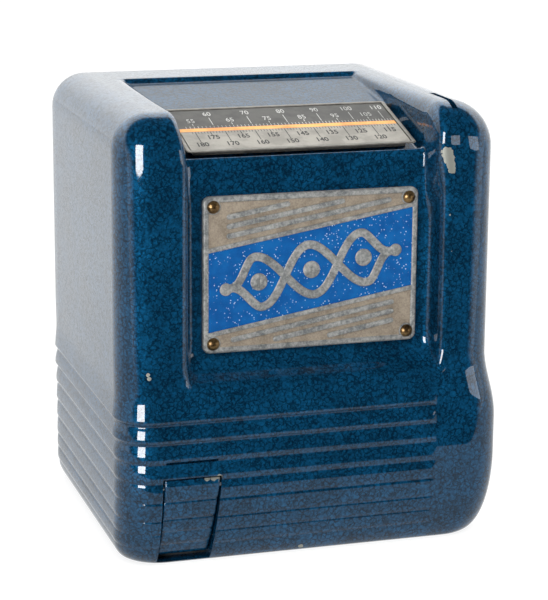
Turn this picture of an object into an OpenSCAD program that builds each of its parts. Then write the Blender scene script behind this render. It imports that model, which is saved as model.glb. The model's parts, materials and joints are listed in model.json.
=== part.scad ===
// Counter-top trade stimulator: a three-reel game that drops a gum ball with each play.
// X points right, Y points to the back, Z points up. The origin is the middle of the base.

/* [Casing] */
// Width of the casing over its flat sides
body_w = 131.1; // [130:0.1:134]
// Depth of the casing, front to back
body_d = 118; // [117:0.5:120]
// Height of the casing to the top of its rails
body_h = 152.4; // [151:0.2:155]
// Thickness of the cast wall
wall = 2.8; // [2.5:0.1:3]
// Rounding of the top edges
edge_r = 12; // [11:0.1:12.2]
// Rounding of the right top edge, under the coin slot
slot_edge_r = 16; // [14:0.5:18]
// How far the lower right pod stands out
pod_bulge = 3.9; // [3:0.1:5]

/* [Recess] */
// Depth of the recess in the front
front_recess = 9.8; // [9.2:0.1:10]
// Depth of the recess in the top
top_recess = 5.2; // [4.9:0.1:5.4]

/* [Ribs] */
// Height of the top rib lip
rib_top = 50.7; // [49:0.1:52]
// Spacing of the rib lips
rib_pitch = 6.55; // [6.4:0.05:6.6]
// How far a lip stands out past its groove
rib_depth = 1.1; // [0.8:0.1:1.3]

/* [Front plate and dial] */
// Width of the nameplate
plate_w = 74.7; // [70:0.1:78]
// Height of the nameplate
plate_h = 52.7; // [48:0.1:54]
// Width of the dial lid
dial_w = 76.4; // [74:0.2:80]
// Thickness of the dial lid
dial_t = 2.6; // [2.4:0.1:2.8]
// Gap between the dial lid and each cheek
dial_gap = 0.6; // [0.4:0.1:1]

/* [Reels] */
// Diameter of a reel over its strip
reel_d = 46; // [44:0.2:46.4]
// Width of a reel drum
reel_w = 16; // [14:0.5:16.5]

/* [Gum] */
// Diameter of the gum ball
ball_d = 15.9; // [14:0.1:16]

/* [Lever] */
// Swing of the lever in degrees
lever_swing = 50; // [35:1:50]
// Length of the lever from its shaft to its knob
lever_len = 50; // [46:1:54]
// Diameter of the lever knob
knob_d = 13; // [11:0.5:14]

/* [Coins] */
// Length of the coin slot
slot_len = 21.5; // [20:0.1:23]
// Width of the coin slot
slot_w = 2.6; // [2.2:0.1:2.8]

/* [Hidden] */
$fn = 48;

// Clearance between pieces that move past each other, and radial clearance of a running fit
gap = 0.4;
fit = 0.05;

// Casing planes
half_w = body_w / 2;
front = -body_d / 2;
back = body_d / 2;
corner_r = edge_r + 0.5;
floor_y = front + front_recess;
floor_z = body_h - top_recess;
inner_x = half_w - wall - 0.95;
front_x = 1.25;
paint_blue = [0.07, 0.2, 0.36];

// Undercut of the skirt: how far it draws in at the foot, and from what height
front_tuck = 7.7;
front_tuck_h = 29;
left_tuck = 5.2;
left_tuck_h = 9.5;
right_tuck = 8.2;
right_tuck_h = 30;
pod_top = 66;
pod_full = 42;

// Ribs stop at this x on the front
rib_count = 8;
rib_end = front_x + 42;
rib_curl = 1.45;

// Recess: its shelf starts at this height on the front
shelf_z = 61.5;
plate_gap = 0.8;
recess_half = max(dial_w / 2 + dial_gap, plate_w / 2 + plate_gap);
cheek_span = 6.4;
cheek_wall = 1.3;
recess_back = 28;

// Dial lid: the rear top edge and the front top edge of its face set the slope
dial_rear = [-13, floor_z + 0.2];
dial_front = [floor_y + 1.9, floor_z - 9.1];
slope = atan2(dial_rear[1] - dial_front[1], dial_rear[0] - dial_front[0]);
dial_len = norm(dial_rear - dial_front);
pivot_in = 1.5;
pivot = dial_rear - [
  pivot_in * cos(slope) - dial_t / 2 * sin(slope),
  pivot_in * sin(slope) + dial_t / 2 * cos(slope)
];
pivot_d = 1.5;
slope_drop = dial_t / 2 + 1;
step_y = pivot[0] + 2.4;
window_mid = -15;
window_w = 66;
window_h = 19;
glass_lap = 1.5;
frame_rim = 2;

function slope_point(u, v) = [
  pivot[0] + u * cos(slope) - v * sin(slope),
  pivot[1] + u * sin(slope) + v * cos(slope)
];

// Reels and their frame
reel_r = reel_d / 2;
glass_t = 1.9;
reel_axis = slope_point(window_mid, -slope_drop - wall - glass_t - 0.8 - reel_r);
reel_pitch = 22;
reel_shaft_d = 5;
strip_t = 0.4;
drum_t = 1.2;
hub_d = 10;
hub_len = reel_pitch - 0.8;
star_r = 13;
star_t = 1.6;
star_points = 12;
star_off = reel_w / 2 + 1;
frame_x = 33.2;
frame_t = 2;
frame_out = frame_x + frame_t;
frame_back = 40;
base_t = 2;
REELS = [-reel_pitch, 0, reel_pitch];

// Stop arms stand behind the star wheels
stop_axis = [reel_axis[0] + 17, reel_axis[1] - 27];
stop_d = 4;

// Gears: lever shaft to kicker, and lever shaft to gum shuttle
gear_m = 1.5;
drive_n = 22;
sector_n = 36;
pinion_n = 29;
lever_drop = 64.1;
lever_axis = [20, reel_axis[1] - lever_drop];
lever_d = 7;
mesh_angle = 144;
mesh_dist = gear_m * (drive_n + sector_n) / 2;
kicker_axis = lever_axis + mesh_dist * [cos(mesh_angle), sin(mesh_angle)];
kicker_d = 5;
gear_x = frame_out + 3;
gear_t = 4;
pinion_r = gear_m * pinion_n / 2;
pinion_t = 2.8;
pinion_x = -inner_x + 1.9;
finger_r = 25;

// Lever arm outside the pod
arm_x = half_w + pod_bulge + 1;
arm_t = 4;
arm_hole_d = 5;
knob_stud_d = 4;

// Gum path: shuttle, deck, chute and flap
hole_d = ball_d + 1.2;
gum_x = -frame_out - 1.6 - hole_d / 2;
deck_z = lever_axis[1] + pinion_r + 0.2;
deck_t = 2;
shuttle_z = deck_z + deck_t;
shuttle_h = ball_d - 0.3;
shuttle_half = hole_d / 2 + 0.8;
deck_back = 48;
hopper_back = 44;
pocket_y = -2;
shuttle_travel = pinion_r * lever_swing * PI / 180;
drop_y = pocket_y - shuttle_travel;
hopper_z = shuttle_z + shuttle_h + gap;
sheet = 1.2;
flap_left = front_x - 52.5;
flap_right = front_x - 33.5;
flap_top = 31;
flap_foot = 3.8;
flap_tilt = 6;
flap_lean = 1.8;
flap_t = 1.8;
flap_axis = [front + 1.4, flap_top - 2.8];
flap_pin_d = 1.2;
flap_knuckle_d = 2.4;
flap_knuckle_inset = 0.8;
flap_gap = 0.6;
flap_sill = 2.4;

// Coin path
slot_x = half_w - 15.45;
slot_y = front + 6;
coin_foot = 44;
rocker_z = 97;
rocker_x = slot_x - 7;
rocker_y = slot_y + 12;
rocker_pin_d = 1.6;
rocker_w = 6.6;

// Rear: door, lock and drawer
hinge_x = -53.5;
hinge_y = back + 3.5;
hinge_d = 3;
hinge_knuckle_d = 5.8;
knuckle_len = 14;
KNUCKLES = [40, 110];
door_t = 2;
door_y = back + 0.3;
door_z0 = 31;
door_z1 = body_h - edge_r - 0.6;
door_open = 48;
lock_x = 38;
lock_z = 84;
lock_d = 12;
plug_d = 8;
drawer_x0 = frame_out + 1.8;
drawer_x1 = half_w - 9.4;
drawer_h = 23;
drawer_y0 = front + 19.5;

// Base screws sit in bosses on the front and rear walls
base_x0 = -half_w + left_tuck + wall + 0.5;
base_x1 = half_w + pod_bulge - right_tuck - wall - 1;
base_y0 = front + front_tuck + wall + 1;
base_y1 = back - wall;
foot_cut = 4.5;
BASE_SCREWS = [
  [-22, base_y0 + 3.2], [28, base_y0 + 3.2], [-48, base_y1 - 3.2], [14, base_y1 - 3.2]
];
FRAME_SCREWS = [for (s = [-1, 1], y = [4, 34]) [s * (frame_x - 6), y]];
frame_foot_w = 12;
TIE_RODS = [
  [-4, base_t + drawer_h + 5], [36, lever_axis[1] + 2], [floor_y + wall + 7.4, reel_axis[1] - reel_r - 5.1]
];
plate_foot = shelf_z + 9.8;
plate_t = 1.4;
plate_relief = 0.5;
rivet_d = 2.4;
RIVETS = [for (x = [-1, 1], z = [3.3, plate_h - 3.3]) [front_x + x * (plate_w / 2 - 3.4), plate_foot + z]];

function flap_right_at(z) = flap_right - flap_lean * (flap_top - z) / (flap_top - flap_foot);

// Small shape helpers
module yz(x0, w) {
  translate([x0, 0, 0]) rotate([90, 0, 90]) linear_extrude(w) children();
}

module xz(y0, w) {
  translate([0, y0 + w, 0]) rotate([90, 0, 0]) linear_extrude(w) children();
}

module rod_x(x0, w, d, at) {
  translate([x0, at[0], at[1]]) rotate([0, 90, 0]) cylinder(d = d, h = w);
}

module rod_y(y0, w, d, x, z) {
  translate([x, y0 + w, z]) rotate([90, 0, 0]) cylinder(d = d, h = w);
}

module block(x0, x1, y0, y1, z0, z1) {
  translate([x0, y0, z0]) cube([x1 - x0, y1 - y0, z1 - z0]);
}

// A plate centred on the reel window, in the plane of the slope
module plate_at(w, h, z, t) {
  translate([-w / 2, window_mid - h / 2, z]) cube([w, h, t]);
}

module on_slope() {
  translate([front_x, pivot[0], pivot[1]]) rotate([slope, 0, 0]) children();
}

function cut_box(x0, x1, y0, y1, c) = [
  [x0 + c, y0], [x1 - c, y0], [x1, y0 + c], [x1, y1 - c],
  [x1 - c, y1], [x0 + c, y1], [x0, y1 - c], [x0, y0 + c]
];

// A solid through a stack of rings that all have the same number of points
module loft(rings) {
  n = len(rings[0]);
  m = len(rings);
  sides = [
    for (r = [0 : m - 2], i = [0 : n - 1])
      let (j = (i + 1) % n, a = r * n + i, b = r * n + j, c = a + n, d = b + n)
        each [[a, c, b], [b, c, d]]
  ];
  caps = [[for (i = [0 : n - 1]) i], [for (i = [n - 1 : -1 : 0]) (m - 1) * n + i]];
  polyhedron(points = [for (r = rings) each r], faces = concat(sides, caps), convexity = 8);
}

// Casing skin
function ease(t) = let (u = min(1, max(0, t))) u * u * (3 - 2 * u);
function wall_ease(t) = let (u = min(1, max(0, t))) u * u * u * (10 + u * (6 * u - 15));
function tuck(z, deep, high) =
  z >= high ? 0 : deep * (1 - sqrt(1 - pow((high - z) / high, 2)));
function pod(z) = pod_bulge * ease((pod_top - z) / (pod_top - pod_full));
function lip_z(i) = rib_top - rib_pitch * i + max(0, i - 5) * rib_curl;
function round_in(z, r) = let (t = max(0, z - body_h + r)) r - sqrt(max(0, r * r - t * t));

// One ring of the skin: rib is how far its ribbed stretch lies behind the wall plane
function skin_ring(z, rib) =
  let (
    r = corner_r - round_in(z, edge_r),
    x0 = -half_w + round_in(z, edge_r) + tuck(z, left_tuck, left_tuck_h),
    x1 = half_w - round_in(z, slot_edge_r) + pod(z) - tuck(z, right_tuck, right_tuck_h),
    y0 = front + round_in(z, edge_r) + tuck(z, front_tuck, front_tuck_h),
    y1 = back - round_in(z, edge_r),
    arc = [0 : 15 : 90]
  ) concat(
    [for (a = arc) [x0 + r + (r - rib) * cos(180 + a), y0 + r + (r - rib) * sin(180 + a), z]],
    [[rib_end - 0.5, y0 + rib, z], [rib_end + 0.5, y0, z]],
    [for (a = arc) [x1 - r + r * cos(270 + a), y0 + r + r * sin(270 + a), z]],
    [for (a = arc) [x1 - r + r * cos(a), y1 - r + r * sin(a), z]],
    [for (a = arc)
      let (q = a > 45 ? r - rib : r) [x0 + r + q * cos(90 + a), y1 - r + q * sin(90 + a), z]]
  );

// Heights and rib depths of the rings, from the foot up
function skin_levels() = concat(
  [[0, 0], [1, 0.1], [3.5, 0]],
  [for (i = [rib_count - 1 : -1 : 0])
    each [[lip_z(i) - 0.5, rib_depth / 2], [lip_z(i) + 0.1, -0.45 * rib_depth],
          [lip_z(i) + 0.9, -0.35 * rib_depth]]],
  [[rib_top + 6, 0], [pod_top - 4, 0], [pod_top, 0]],
  [[body_h - slot_edge_r, 0]],
  [for (a = [0 : 15 : 90]) [body_h - edge_r + edge_r * sin(a), 0]]
);

module skin() {
  loft([for (l = skin_levels()) skin_ring(l[0], l[1])]);
}

// Recess through the front and the top: its floor line, and the outer line that it rises to at the cheeks
FLOOR_LINE = [
  [front - 1.2, shelf_z - 1], [front + 2.6, shelf_z + 1.4], [front + 6, shelf_z + 4.4],
  [floor_y - 0.8, shelf_z + 7.2], [floor_y, shelf_z + 9.6],
  [floor_y, slope_point(-dial_len, -slope_drop)[1] - 1.2],
  slope_point(-dial_len + pivot_in + 0.6, -slope_drop - 0.5),
  slope_point(-dial_len + pivot_in + 3, -slope_drop),
  [step_y - 0.1, slope_point(2.6, -slope_drop)[1]], [step_y, floor_z],
  [recess_back - 4, floor_z], [recess_back - 1.4, floor_z + 0.9],
  [recess_back - 0.3, floor_z + 3], [recess_back, body_h + 0.6]
];
OUTER_LINE = [
  [front - 1.3, shelf_z - 1], [front - 1.1, shelf_z + 1.4], [front - 1.1, shelf_z + 4.4],
  [front - 1.1, shelf_z + 7.6], [front - 1.1, shelf_z + 11],
  [front - 1.1, body_h - 17], [front + 0.8, body_h - 5], [front + 7, body_h + 0.6],
  [step_y - 0.1, body_h + 0.6], [step_y, body_h + 0.65],
  [recess_back - 4, body_h + 0.7], [recess_back - 1.4, body_h + 0.75],
  [recess_back - 0.3, body_h + 0.8], [recess_back, body_h + 0.85]
];

function recess_ring(x) =
  let (s = wall_ease((abs(x) - recess_half) / cheek_span))
  concat(
    [for (i = [0 : len(FLOOR_LINE) - 1])
      let (p = FLOOR_LINE[i] * (1 - s) + OUTER_LINE[i] * s) [x, p[0], p[1]]],
    [[x, recess_back, body_h + 8], [x, front - 8, body_h + 8], [x, front - 8, shelf_z - 1]]
  );

module recess() {
  steps = 9;
  side = [for (i = [0 : steps]) recess_half + cheek_span * i / steps];
  loft([for (x = concat([for (i = [steps : -1 : 0]) -side[i]], side)) recess_ring(x)]);
}

// Space inside the casing
module cavity() {
  under = slope_drop + wall;
  intersection() {
    yz(-inner_x, 2 * inner_x) polygon([
      [front + wall + 4, 11], [front + wall + 1.5, 18], [front + wall + 0.8, 29],
      [front + wall + 0.8, shelf_z - 6], [floor_y + wall, shelf_z + 6],
      [floor_y + wall, slope_point(-dial_len, -under)[1] - 3],
      slope_point(-dial_len + pivot_in + 4, -under), slope_point(1, -under),
      [step_y + 2, floor_z - wall], [back + 1, floor_z - wall], [back + 1, 11]
    ]);
    translate([0, 0, 10]) linear_extrude(body_h)
      polygon(cut_box(-inner_x, inner_x, front + wall, back - wall, foot_cut));
  }
  translate([0, 0, -1]) linear_extrude(13)
    polygon(cut_box(base_x0, base_x1, base_y0, base_y1, foot_cut));
  for (side = [-1, 1]) {
    scale([side, 1, 1]) {
      x0 = recess_half + cheek_span + cheek_wall;
      translate([0, 0, shelf_z - 8]) linear_extrude(body_h - edge_r - shelf_z + 6)
        polygon([
          [x0, floor_y + wall + 1], [x0, front + wall + 0.4], [inner_x - 5.6, front + wall + 0.4],
          [inner_x, front + wall + 7], [inner_x, floor_y + wall + 1]
        ]);
      block(x0, inner_x, floor_y + wall + 0.5, step_y + 4, shelf_z, floor_z - wall - 0.8);
    }
  }
}

module casing() {
  color(paint_blue) difference() {
    union() {
      difference() {
        skin();
        translate([front_x, 0, 0]) recess();
        cavity();
      }
      for (p = BASE_SCREWS) translate([p[0], p[1], base_t]) cylinder(d = 7, h = 12);
      for (z = KNUCKLES) {
        translate([hinge_x, hinge_y, z]) cylinder(d = hinge_knuckle_d, h = knuckle_len);
        block(hinge_x - 2.4, hinge_x + 2, back - 2, hinge_y, z, z + knuckle_len);
      }
    }
    for (p = BASE_SCREWS) translate([p[0], p[1], -1]) cylinder(d = 2.7, h = 12);
    for (p = RIVETS) rod_y(floor_y - 1, wall + 3, rivet_d, p[0], p[1]);
    for (s = [-1, 1]) rod_x(front_x + (s > 0 ? recess_half - 1 : -recess_half - 7), 8, pivot_d, pivot);
    on_slope() plate_at(window_w, window_h, -slope_drop - wall - 4, wall + 8);
    xz(front - 3, front_recess + wall + 3) polygon([
      [flap_left - flap_gap, flap_sill], [flap_right_at(flap_sill) + flap_gap, flap_sill],
      [flap_right + flap_gap, flap_top + flap_gap], [flap_left - flap_gap, flap_top + flap_gap]
    ]);
    rod_x(flap_left - 3, flap_right - flap_left + 6, flap_pin_d, flap_axis);
    block(slot_x - slot_w / 2, slot_x + slot_w / 2, slot_y, slot_y + slot_len, floor_z - 12, body_h + 1);
    rod_x(inner_x - 3, 20, lever_d + 5, lever_axis);
    block(-door_open, door_open, back - wall - 1, back + 1, door_z0 + 4, door_z1 - 4);
    block(drawer_x0 - 0.5, drawer_x1 + 0.5, back - wall - 8, back + 1, base_t, base_t + drawer_h + 0.6);
    translate([hinge_x, hinge_y, KNUCKLES[0] - 5])
      cylinder(d = hinge_d, h = KNUCKLES[1] - KNUCKLES[0] + knuckle_len + 10);
  }
}

module base_plate() {
  color("dimgray") difference() {
    linear_extrude(base_t)
      polygon(cut_box(base_x0 + 0.3, base_x1 - 0.3, base_y0 + 0.3, base_y1 - 0.3, foot_cut));
    for (p = BASE_SCREWS) translate([p[0], p[1], -1]) cylinder(d = 3.2, h = base_t + 2);
    for (p = BASE_SCREWS) translate([p[0], p[1], -0.01]) cylinder(d1 = 6, d2 = 3.2, h = 1.4);
    for (p = FRAME_SCREWS) translate([p[0], p[1], -1]) cylinder(d = 2.6, h = 6);
  }
}

module base_screws() {
  color("silver") for (p = BASE_SCREWS) translate([p[0], p[1], 0.05]) {
    difference() {
      cylinder(d1 = 5.8, d2 = 3, h = 1.4);
      translate([-3, -0.4, -0.1]) cube([6, 0.8, 0.6]);
    }
    translate([0, 0, 1.3]) cylinder(d = 2.6, h = 9);
  }
}

// Front plate with a raised border, a raised diagonal band and an ornament of plain lozenges
module nameplate() {
  face = floor_y - plate_t;
  rise = 13;
  color([0.6, 0.58, 0.55]) difference() {
    union() {
      block(front_x - plate_w / 2, front_x + plate_w / 2, face, floor_y, plate_foot, plate_foot + plate_h);
      xz(face - plate_relief, plate_relief + 0.2) translate([front_x, plate_foot]) {
        difference() {
          translate([-plate_w / 2, 0]) square([plate_w, plate_h]);
          translate([-plate_w / 2 + 1.3, 1.3]) square([plate_w - 2.6, plate_h - 2.6]);
        }
        for (low = [6.4, 33.6]) polygon([
          [-plate_w / 2 + 1, low], [plate_w / 2 - 1, low + rise],
          [plate_w / 2 - 1, low + rise + 0.9], [-plate_w / 2 + 1, low + 0.9]
        ]);
        for (i = [-1 : 1]) translate([i * 20, 27 + i * 20 * rise / plate_w])
          polygon([[-6, -1], [0, -5.5], [6, 1], [0, 5.5]]);
        for (p = RIVETS) translate([p[0] - front_x, p[1] - plate_foot]) circle(d = 6.2);
      }
    }
    for (p = RIVETS) rod_y(face - 1, plate_t + 2, rivet_d + 0.1, p[0], p[1]);
  }
}

module nameplate_rivets() {
  face = floor_y - plate_t - plate_relief;
  color("goldenrod") for (p = RIVETS) {
    rod_y(face, floor_y - face + wall, rivet_d, p[0], p[1]);
    translate([p[0], face, p[1]]) rotate([90, 0, 0]) intersection() {
      translate([0, 0, -1.3]) sphere(d = 5.2);
      cylinder(d = 5, h = 3);
    }
  }
}

// Dial lid, drawn in the plane of the slope with its pivot line at zero
module dial_frame() {
  back_edge = pivot_in;
  front_edge = pivot_in - dial_len;
  color("ivory") on_slope() difference() {
    translate([-dial_w / 2, front_edge, -dial_t / 2]) cube([dial_w, dial_len, dial_t]);
    translate([-dial_w / 2 + 1.6, front_edge + 1.6, dial_t / 2 - 0.45])
      cube([dial_w - 3.2, dial_len - 3.2, 2]);
    for (s = [0, 1]) mirror([s, 0, 0]) translate([dial_w / 2 - 5.5, 0, 0]) rotate([0, 90, 0])
      cylinder(d = pivot_d + 2 * fit, h = 8);
  }
}

module dial_scale() {
  color("lightgray") on_slope()
    translate([-dial_w / 2 + 1.7, pivot_in - dial_len + 1.7, dial_t / 2 - 0.45])
      cube([dial_w - 3.4, dial_len - 3.4, 0.3]);
}

module dial_pivot_pins() {
  len = recess_half + 6.5 - dial_w / 2 + 5;
  color("silver") translate([front_x, 0, 0]) for (s = [0, 1]) mirror([s, 0, 0])
    rod_x(dial_w / 2 - 5, len, pivot_d, pivot);
}

module window_glass() {
  color([0.7, 0.85, 0.9, 0.5]) on_slope()
    plate_at(window_w + 2 * glass_lap, window_h + 2 * glass_lap, -slope_drop - wall - glass_t, glass_t);
}

module window_frame() {
  top = -slope_drop - wall;
  seat = glass_lap + gap / 2;
  rim = glass_lap + frame_rim;
  color("dimgray") on_slope() difference() {
    plate_at(window_w + 2 * rim, window_h + 2 * rim, top - glass_t - 1, glass_t + 1);
    plate_at(window_w + 2 * seat, window_h + 2 * seat, top - glass_t, glass_t + 1);
    plate_at(window_w, window_h, top - glass_t - 2, glass_t + 4);
  }
}

// Gum flap: a piece of the ribbed skin that hangs in a little at its foot, with a knuckle at its top
module gum_flap() {
  levels = concat(
    [flap_foot],
    [for (l = skin_levels()) if (l[0] > flap_foot + 0.2 && l[0] < flap_top - 0.2) l[0]],
    [flap_top]
  );
  color(paint_blue) difference() {
    union() {
      translate([0, flap_axis[0], flap_axis[1]]) rotate([flap_tilt, 0, 0])
        translate([0, -flap_axis[0], -flap_axis[1]]) loft([for (z = levels)
          let (
            y = front + tuck(z, front_tuck, front_tuck_h) + lookup(z, skin_levels()),
            right = flap_right_at(z)
          ) [[flap_left, y, z], [right, y, z], [right, y + flap_t, z], [flap_left, y + flap_t, z]]]);
      rod_x(flap_left + flap_knuckle_inset, flap_right_at(flap_axis[1]) - flap_left - 2 * flap_knuckle_inset,
        flap_knuckle_d, flap_axis);
    }
    rod_x(flap_left - 1, flap_right - flap_left + 2, flap_pin_d + 2 * fit, flap_axis);
  }
}

module flap_pin() {
  color("silver") rod_x(flap_left - 2.9, flap_right - flap_left + 5.8, flap_pin_d, flap_axis);
}

// Chute: a bent sheet trough with two sides, from the deck down to the flap
module gum_chute() {
  inner = hole_d + 0.4;
  mouth_back = drop_y + hole_d / 2 + 0.4;
  mouth_front = drop_y - hole_d / 2 - 0.4;
  lip = [base_y0 + 3.6, 6];
  bend_z = flap_top - 1;
  mouth_z = flap_top + 9;
  color("gainsboro") {
    for (x = [gum_x - inner / 2 - sheet, gum_x + inner / 2]) yz(x, sheet) polygon([
      [mouth_back + sheet, deck_z], [mouth_front - sheet, deck_z], [mouth_front - sheet, mouth_z],
      [lip[0], bend_z], lip, [mouth_back + sheet, bend_z]
    ]);
    yz(gum_x - inner / 2 - 0.1, inner + 0.2) polygon([
      [mouth_back, deck_z], [mouth_back, bend_z + sheet], lip + [0, sheet], lip,
      [mouth_back + sheet, bend_z], [mouth_back + sheet, deck_z]
    ]);
    yz(gum_x - inner / 2 - 0.1, inner + 0.2) polygon([
      [mouth_front - sheet, deck_z], [mouth_front - sheet, mouth_z],
      [mouth_front, mouth_z], [mouth_front, deck_z]
    ]);
  }
}

// Deck under the shuttle, hung on the left frame plate by its flange
module gum_deck() {
  left = gum_x - shuttle_half - 0.6;
  color("silver") difference() {
    union() {
      block(left, -frame_out, floor_y + wall + 1.5, deck_back, deck_z, deck_z + deck_t);
      block(-frame_out - 0.9, -frame_out, 8, deck_back, deck_z - 12, deck_z + 0.1);
    }
    translate([gum_x, drop_y, deck_z - 1]) cylinder(d = hole_d, h = deck_t + 2);
  }
}

module gum_shuttle() {
  rack_top = deck_z + 9;
  rack_front = lever_axis[0] - 8;
  pitch_z = lever_axis[1] + pinion_r;
  teeth = 19;
  tooth = PI * gear_m;
  slack = 0.12;
  rack_y = lever_axis[0] + tooth / 2;
  color("tan") difference() {
    union() {
      block(gum_x - shuttle_half, gum_x + shuttle_half - 0.3, pocket_y - hole_d / 2 - 1.5, deck_back,
        shuttle_z, shuttle_z + shuttle_h);
      block(pinion_x - 0.2, gum_x - shuttle_half + 0.1, rack_front, deck_back,
        shuttle_z, rack_top);
      yz(pinion_x, pinion_t) difference() {
        translate([rack_front, pitch_z - gear_m]) square([deck_back - rack_front, 4]);
        for (i = [-4 : teeth]) translate([rack_y + (i - 0.5) * tooth, pitch_z])
          polygon([
            [-tooth / 4 - slack + 1.3 * gear_m * tan(20), 1.3 * gear_m],
            [tooth / 4 + slack - 1.3 * gear_m * tan(20), 1.3 * gear_m],
            [tooth / 4 + slack + 1.1 * gear_m * tan(20), -1.1 * gear_m],
            [-tooth / 4 - slack - 1.1 * gear_m * tan(20), -1.1 * gear_m]
          ]);
      }
    }
    translate([gum_x, pocket_y, shuttle_z - 1]) cylinder(d = hole_d, h = shuttle_h + 2);
  }
}

// Hopper: a folded sheet bin that narrows to one outlet over the shuttle's pocket
module gum_hopper() {
  x0 = -inner_x + 1;
  top = floor_z - wall - 5;
  neck = hole_d / 2 + 0.3;
  shoulder = hopper_z + 8;
  bin_foot = shoulder + 22;
  front_y = pivot[0] + 1;
  module bin(g) {
    polygon([
      [pocket_y - neck + g, hopper_z - g], [pocket_y + neck - g, hopper_z - g],
      [pocket_y + neck - g, shoulder + g], [hopper_back - g, bin_foot + g],
      [hopper_back - g, top + 2 * g], [front_y + g, top + 2 * g],
      [front_y + g, bin_foot + g], [pocket_y - neck + g, shoulder + g]
    ]);
  }
  color("gainsboro") difference() {
    yz(x0, -frame_out - x0) bin(0);
    yz(x0 + sheet, -frame_out - x0 - 2 * sheet) bin(sheet);
  }
}

// Coin chute: a flat channel below the slot that runs back and in to the cash drawer
module coin_chute() {
  w = slot_w / 2 + 0.2;
  bend = 70;
  shift = slot_x - drawer_x1 + 9;
  run_back = drawer_y0 - slot_y + 1.5;
  top = body_h - edge_r - 2.4;
  y0 = slot_y - 1;
  deep = slot_len + 2;
  module channel(g, ends) {
    intersection() {
      xz(y0, deep + run_back) polygon([
        [slot_x - w - g, top + ends], [slot_x + w + g, top + ends], [slot_x + w + g, bend],
        [slot_x + w + g - shift, coin_foot - ends], [slot_x - w - g - shift, coin_foot - ends],
        [slot_x - w - g, bend]
      ]);
      yz(slot_x - 10, 20) polygon([
        [y0 + sheet - g, top + ends], [y0 + deep - sheet + g, top + ends], [y0 + deep - sheet + g, bend],
        [y0 + deep - sheet + g + run_back, coin_foot - ends], [y0 + sheet - g + run_back, coin_foot - ends],
        [y0 + sheet - g, bend]
      ]);
    }
  }
  color("gainsboro") difference() {
    union() {
      channel(sheet, 0);
      for (y = [rocker_y - 2, rocker_y + rocker_w + 0.4]) xz(y, 1.5) polygon([
        [slot_x - w - 0.2, rocker_z - 6], [slot_x - w - 0.2, rocker_z + 6],
        [rocker_x - 3, rocker_z + 3], [rocker_x - 3, rocker_z - 3]
      ]);
    }
    channel(0, 1);
    block(
      slot_x - w - 3, slot_x - w + 0.1, rocker_y - 0.4, rocker_y + rocker_w + 0.3,
      rocker_z - 5, rocker_z + 7
    );
    rod_y(rocker_y - 3, rocker_w + 6, rocker_pin_d, rocker_x, rocker_z);
  }
}

module coin_rocker() {
  color("silver") difference() {
    union() {
      rod_y(rocker_y, rocker_w, 5, rocker_x, rocker_z);
      xz(rocker_y, rocker_w) polygon([
        [rocker_x, rocker_z - 1], [slot_x - slot_w / 2 + 0.6, rocker_z + 1.2],
        [slot_x - slot_w / 2 + 0.6, rocker_z + 2.4], [rocker_x, rocker_z + 1.6]
      ]);
      xz(rocker_y, rocker_w) polygon([
        [rocker_x, rocker_z - 1.2], [rocker_x - 6, rocker_z - 3.6],
        [rocker_x - 6, rocker_z + 0.4], [rocker_x, rocker_z + 1.2]
      ]);
    }
    rod_y(rocker_y - 1, rocker_w + 2, rocker_pin_d + 2 * fit, rocker_x, rocker_z);
  }
}

module coin_rocker_pin() {
  color("silver") rod_y(rocker_y - 2.4, rocker_w + 4.8, rocker_pin_d, rocker_x, rocker_z);
}

// Side plates of the reel frame: side is -1 for left and 1 for right
module frame_plate(side) {
  x0 = side > 0 ? frame_x : -frame_out;
  foot0 = side > 0 ? frame_x - frame_foot_w : -frame_x;
  top = reel_axis[1] + 9;
  color("slategray") difference() {
    union() {
      yz(x0, frame_t) polygon([
        [-8, base_t], [frame_back, base_t], [frame_back, lever_axis[1] + 26], [24, top - 29], [12, top],
        [reel_axis[0] - 9, top], [floor_y + wall + 2.4, top - 14], [floor_y + wall + 2.4, top - 55],
        [-8, lever_axis[1] + 4]
      ]);
      block(foot0, foot0 + frame_foot_w, -4, frame_back, base_t, base_t + frame_t);
    }
    for (at = TIE_RODS) rod_x(x0 - 1, frame_t + 2, 3.2, at);
    rod_x(x0 - 1, frame_t + 2, reel_shaft_d, reel_axis);
    rod_x(x0 - 1, frame_t + 2, stop_d, stop_axis);
    rod_x(x0 - 1, frame_t + 2, lever_d + 2 * fit, lever_axis);
    rod_x(x0 - 1, frame_t + 2, kicker_d + 2 * fit, kicker_axis);
    for (p = FRAME_SCREWS) translate([p[0], p[1], base_t - 1]) cylinder(d = 3.2, h = 6);
  }
}

module frame_screws() {
  color("silver") for (p = FRAME_SCREWS) translate([p[0], p[1], 0]) {
    translate([0, 0, 0.3]) cylinder(d = 2.6, h = base_t + frame_t);
    translate([0, 0, base_t + frame_t]) difference() {
      cylinder(d = 5.6, h = 2);
      translate([-3, -0.4, 1.2]) cube([6, 0.8, 1]);
    }
  }
}

module tie_rods() {
  color("silver") for (at = TIE_RODS) {
    rod_x(-frame_x, 2 * frame_x, 5, at);
    rod_x(-frame_out - 2.6, 2 * frame_out + 5.2, 3.1, at);
  }
}

module tie_rod_nuts() {
  color("silver") for (at = TIE_RODS, s = [0, 1]) mirror([s, 0, 0])
    translate([frame_out, at[0], at[1]]) rotate([0, 90, 0]) difference() {
      cylinder(d = 6.2, h = 2.4, $fn = 6);
      translate([0, 0, -1]) cylinder(d = 3.1, h = 5);
    }
}

// Reels: one drum, strip, star wheel and stop arm for each place
module reel_shaft() {
  color("silver") rod_x(-frame_out - 4, 2 * frame_out + 8, reel_shaft_d, reel_axis);
}

module reel_collars() {
  color("silver") for (s = [0, 1]) mirror([s, 0, 0]) difference() {
    rod_x(frame_out, 3.5, 9, reel_axis);
    rod_x(frame_out - 1, 6, reel_shaft_d, reel_axis);
  }
}

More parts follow.
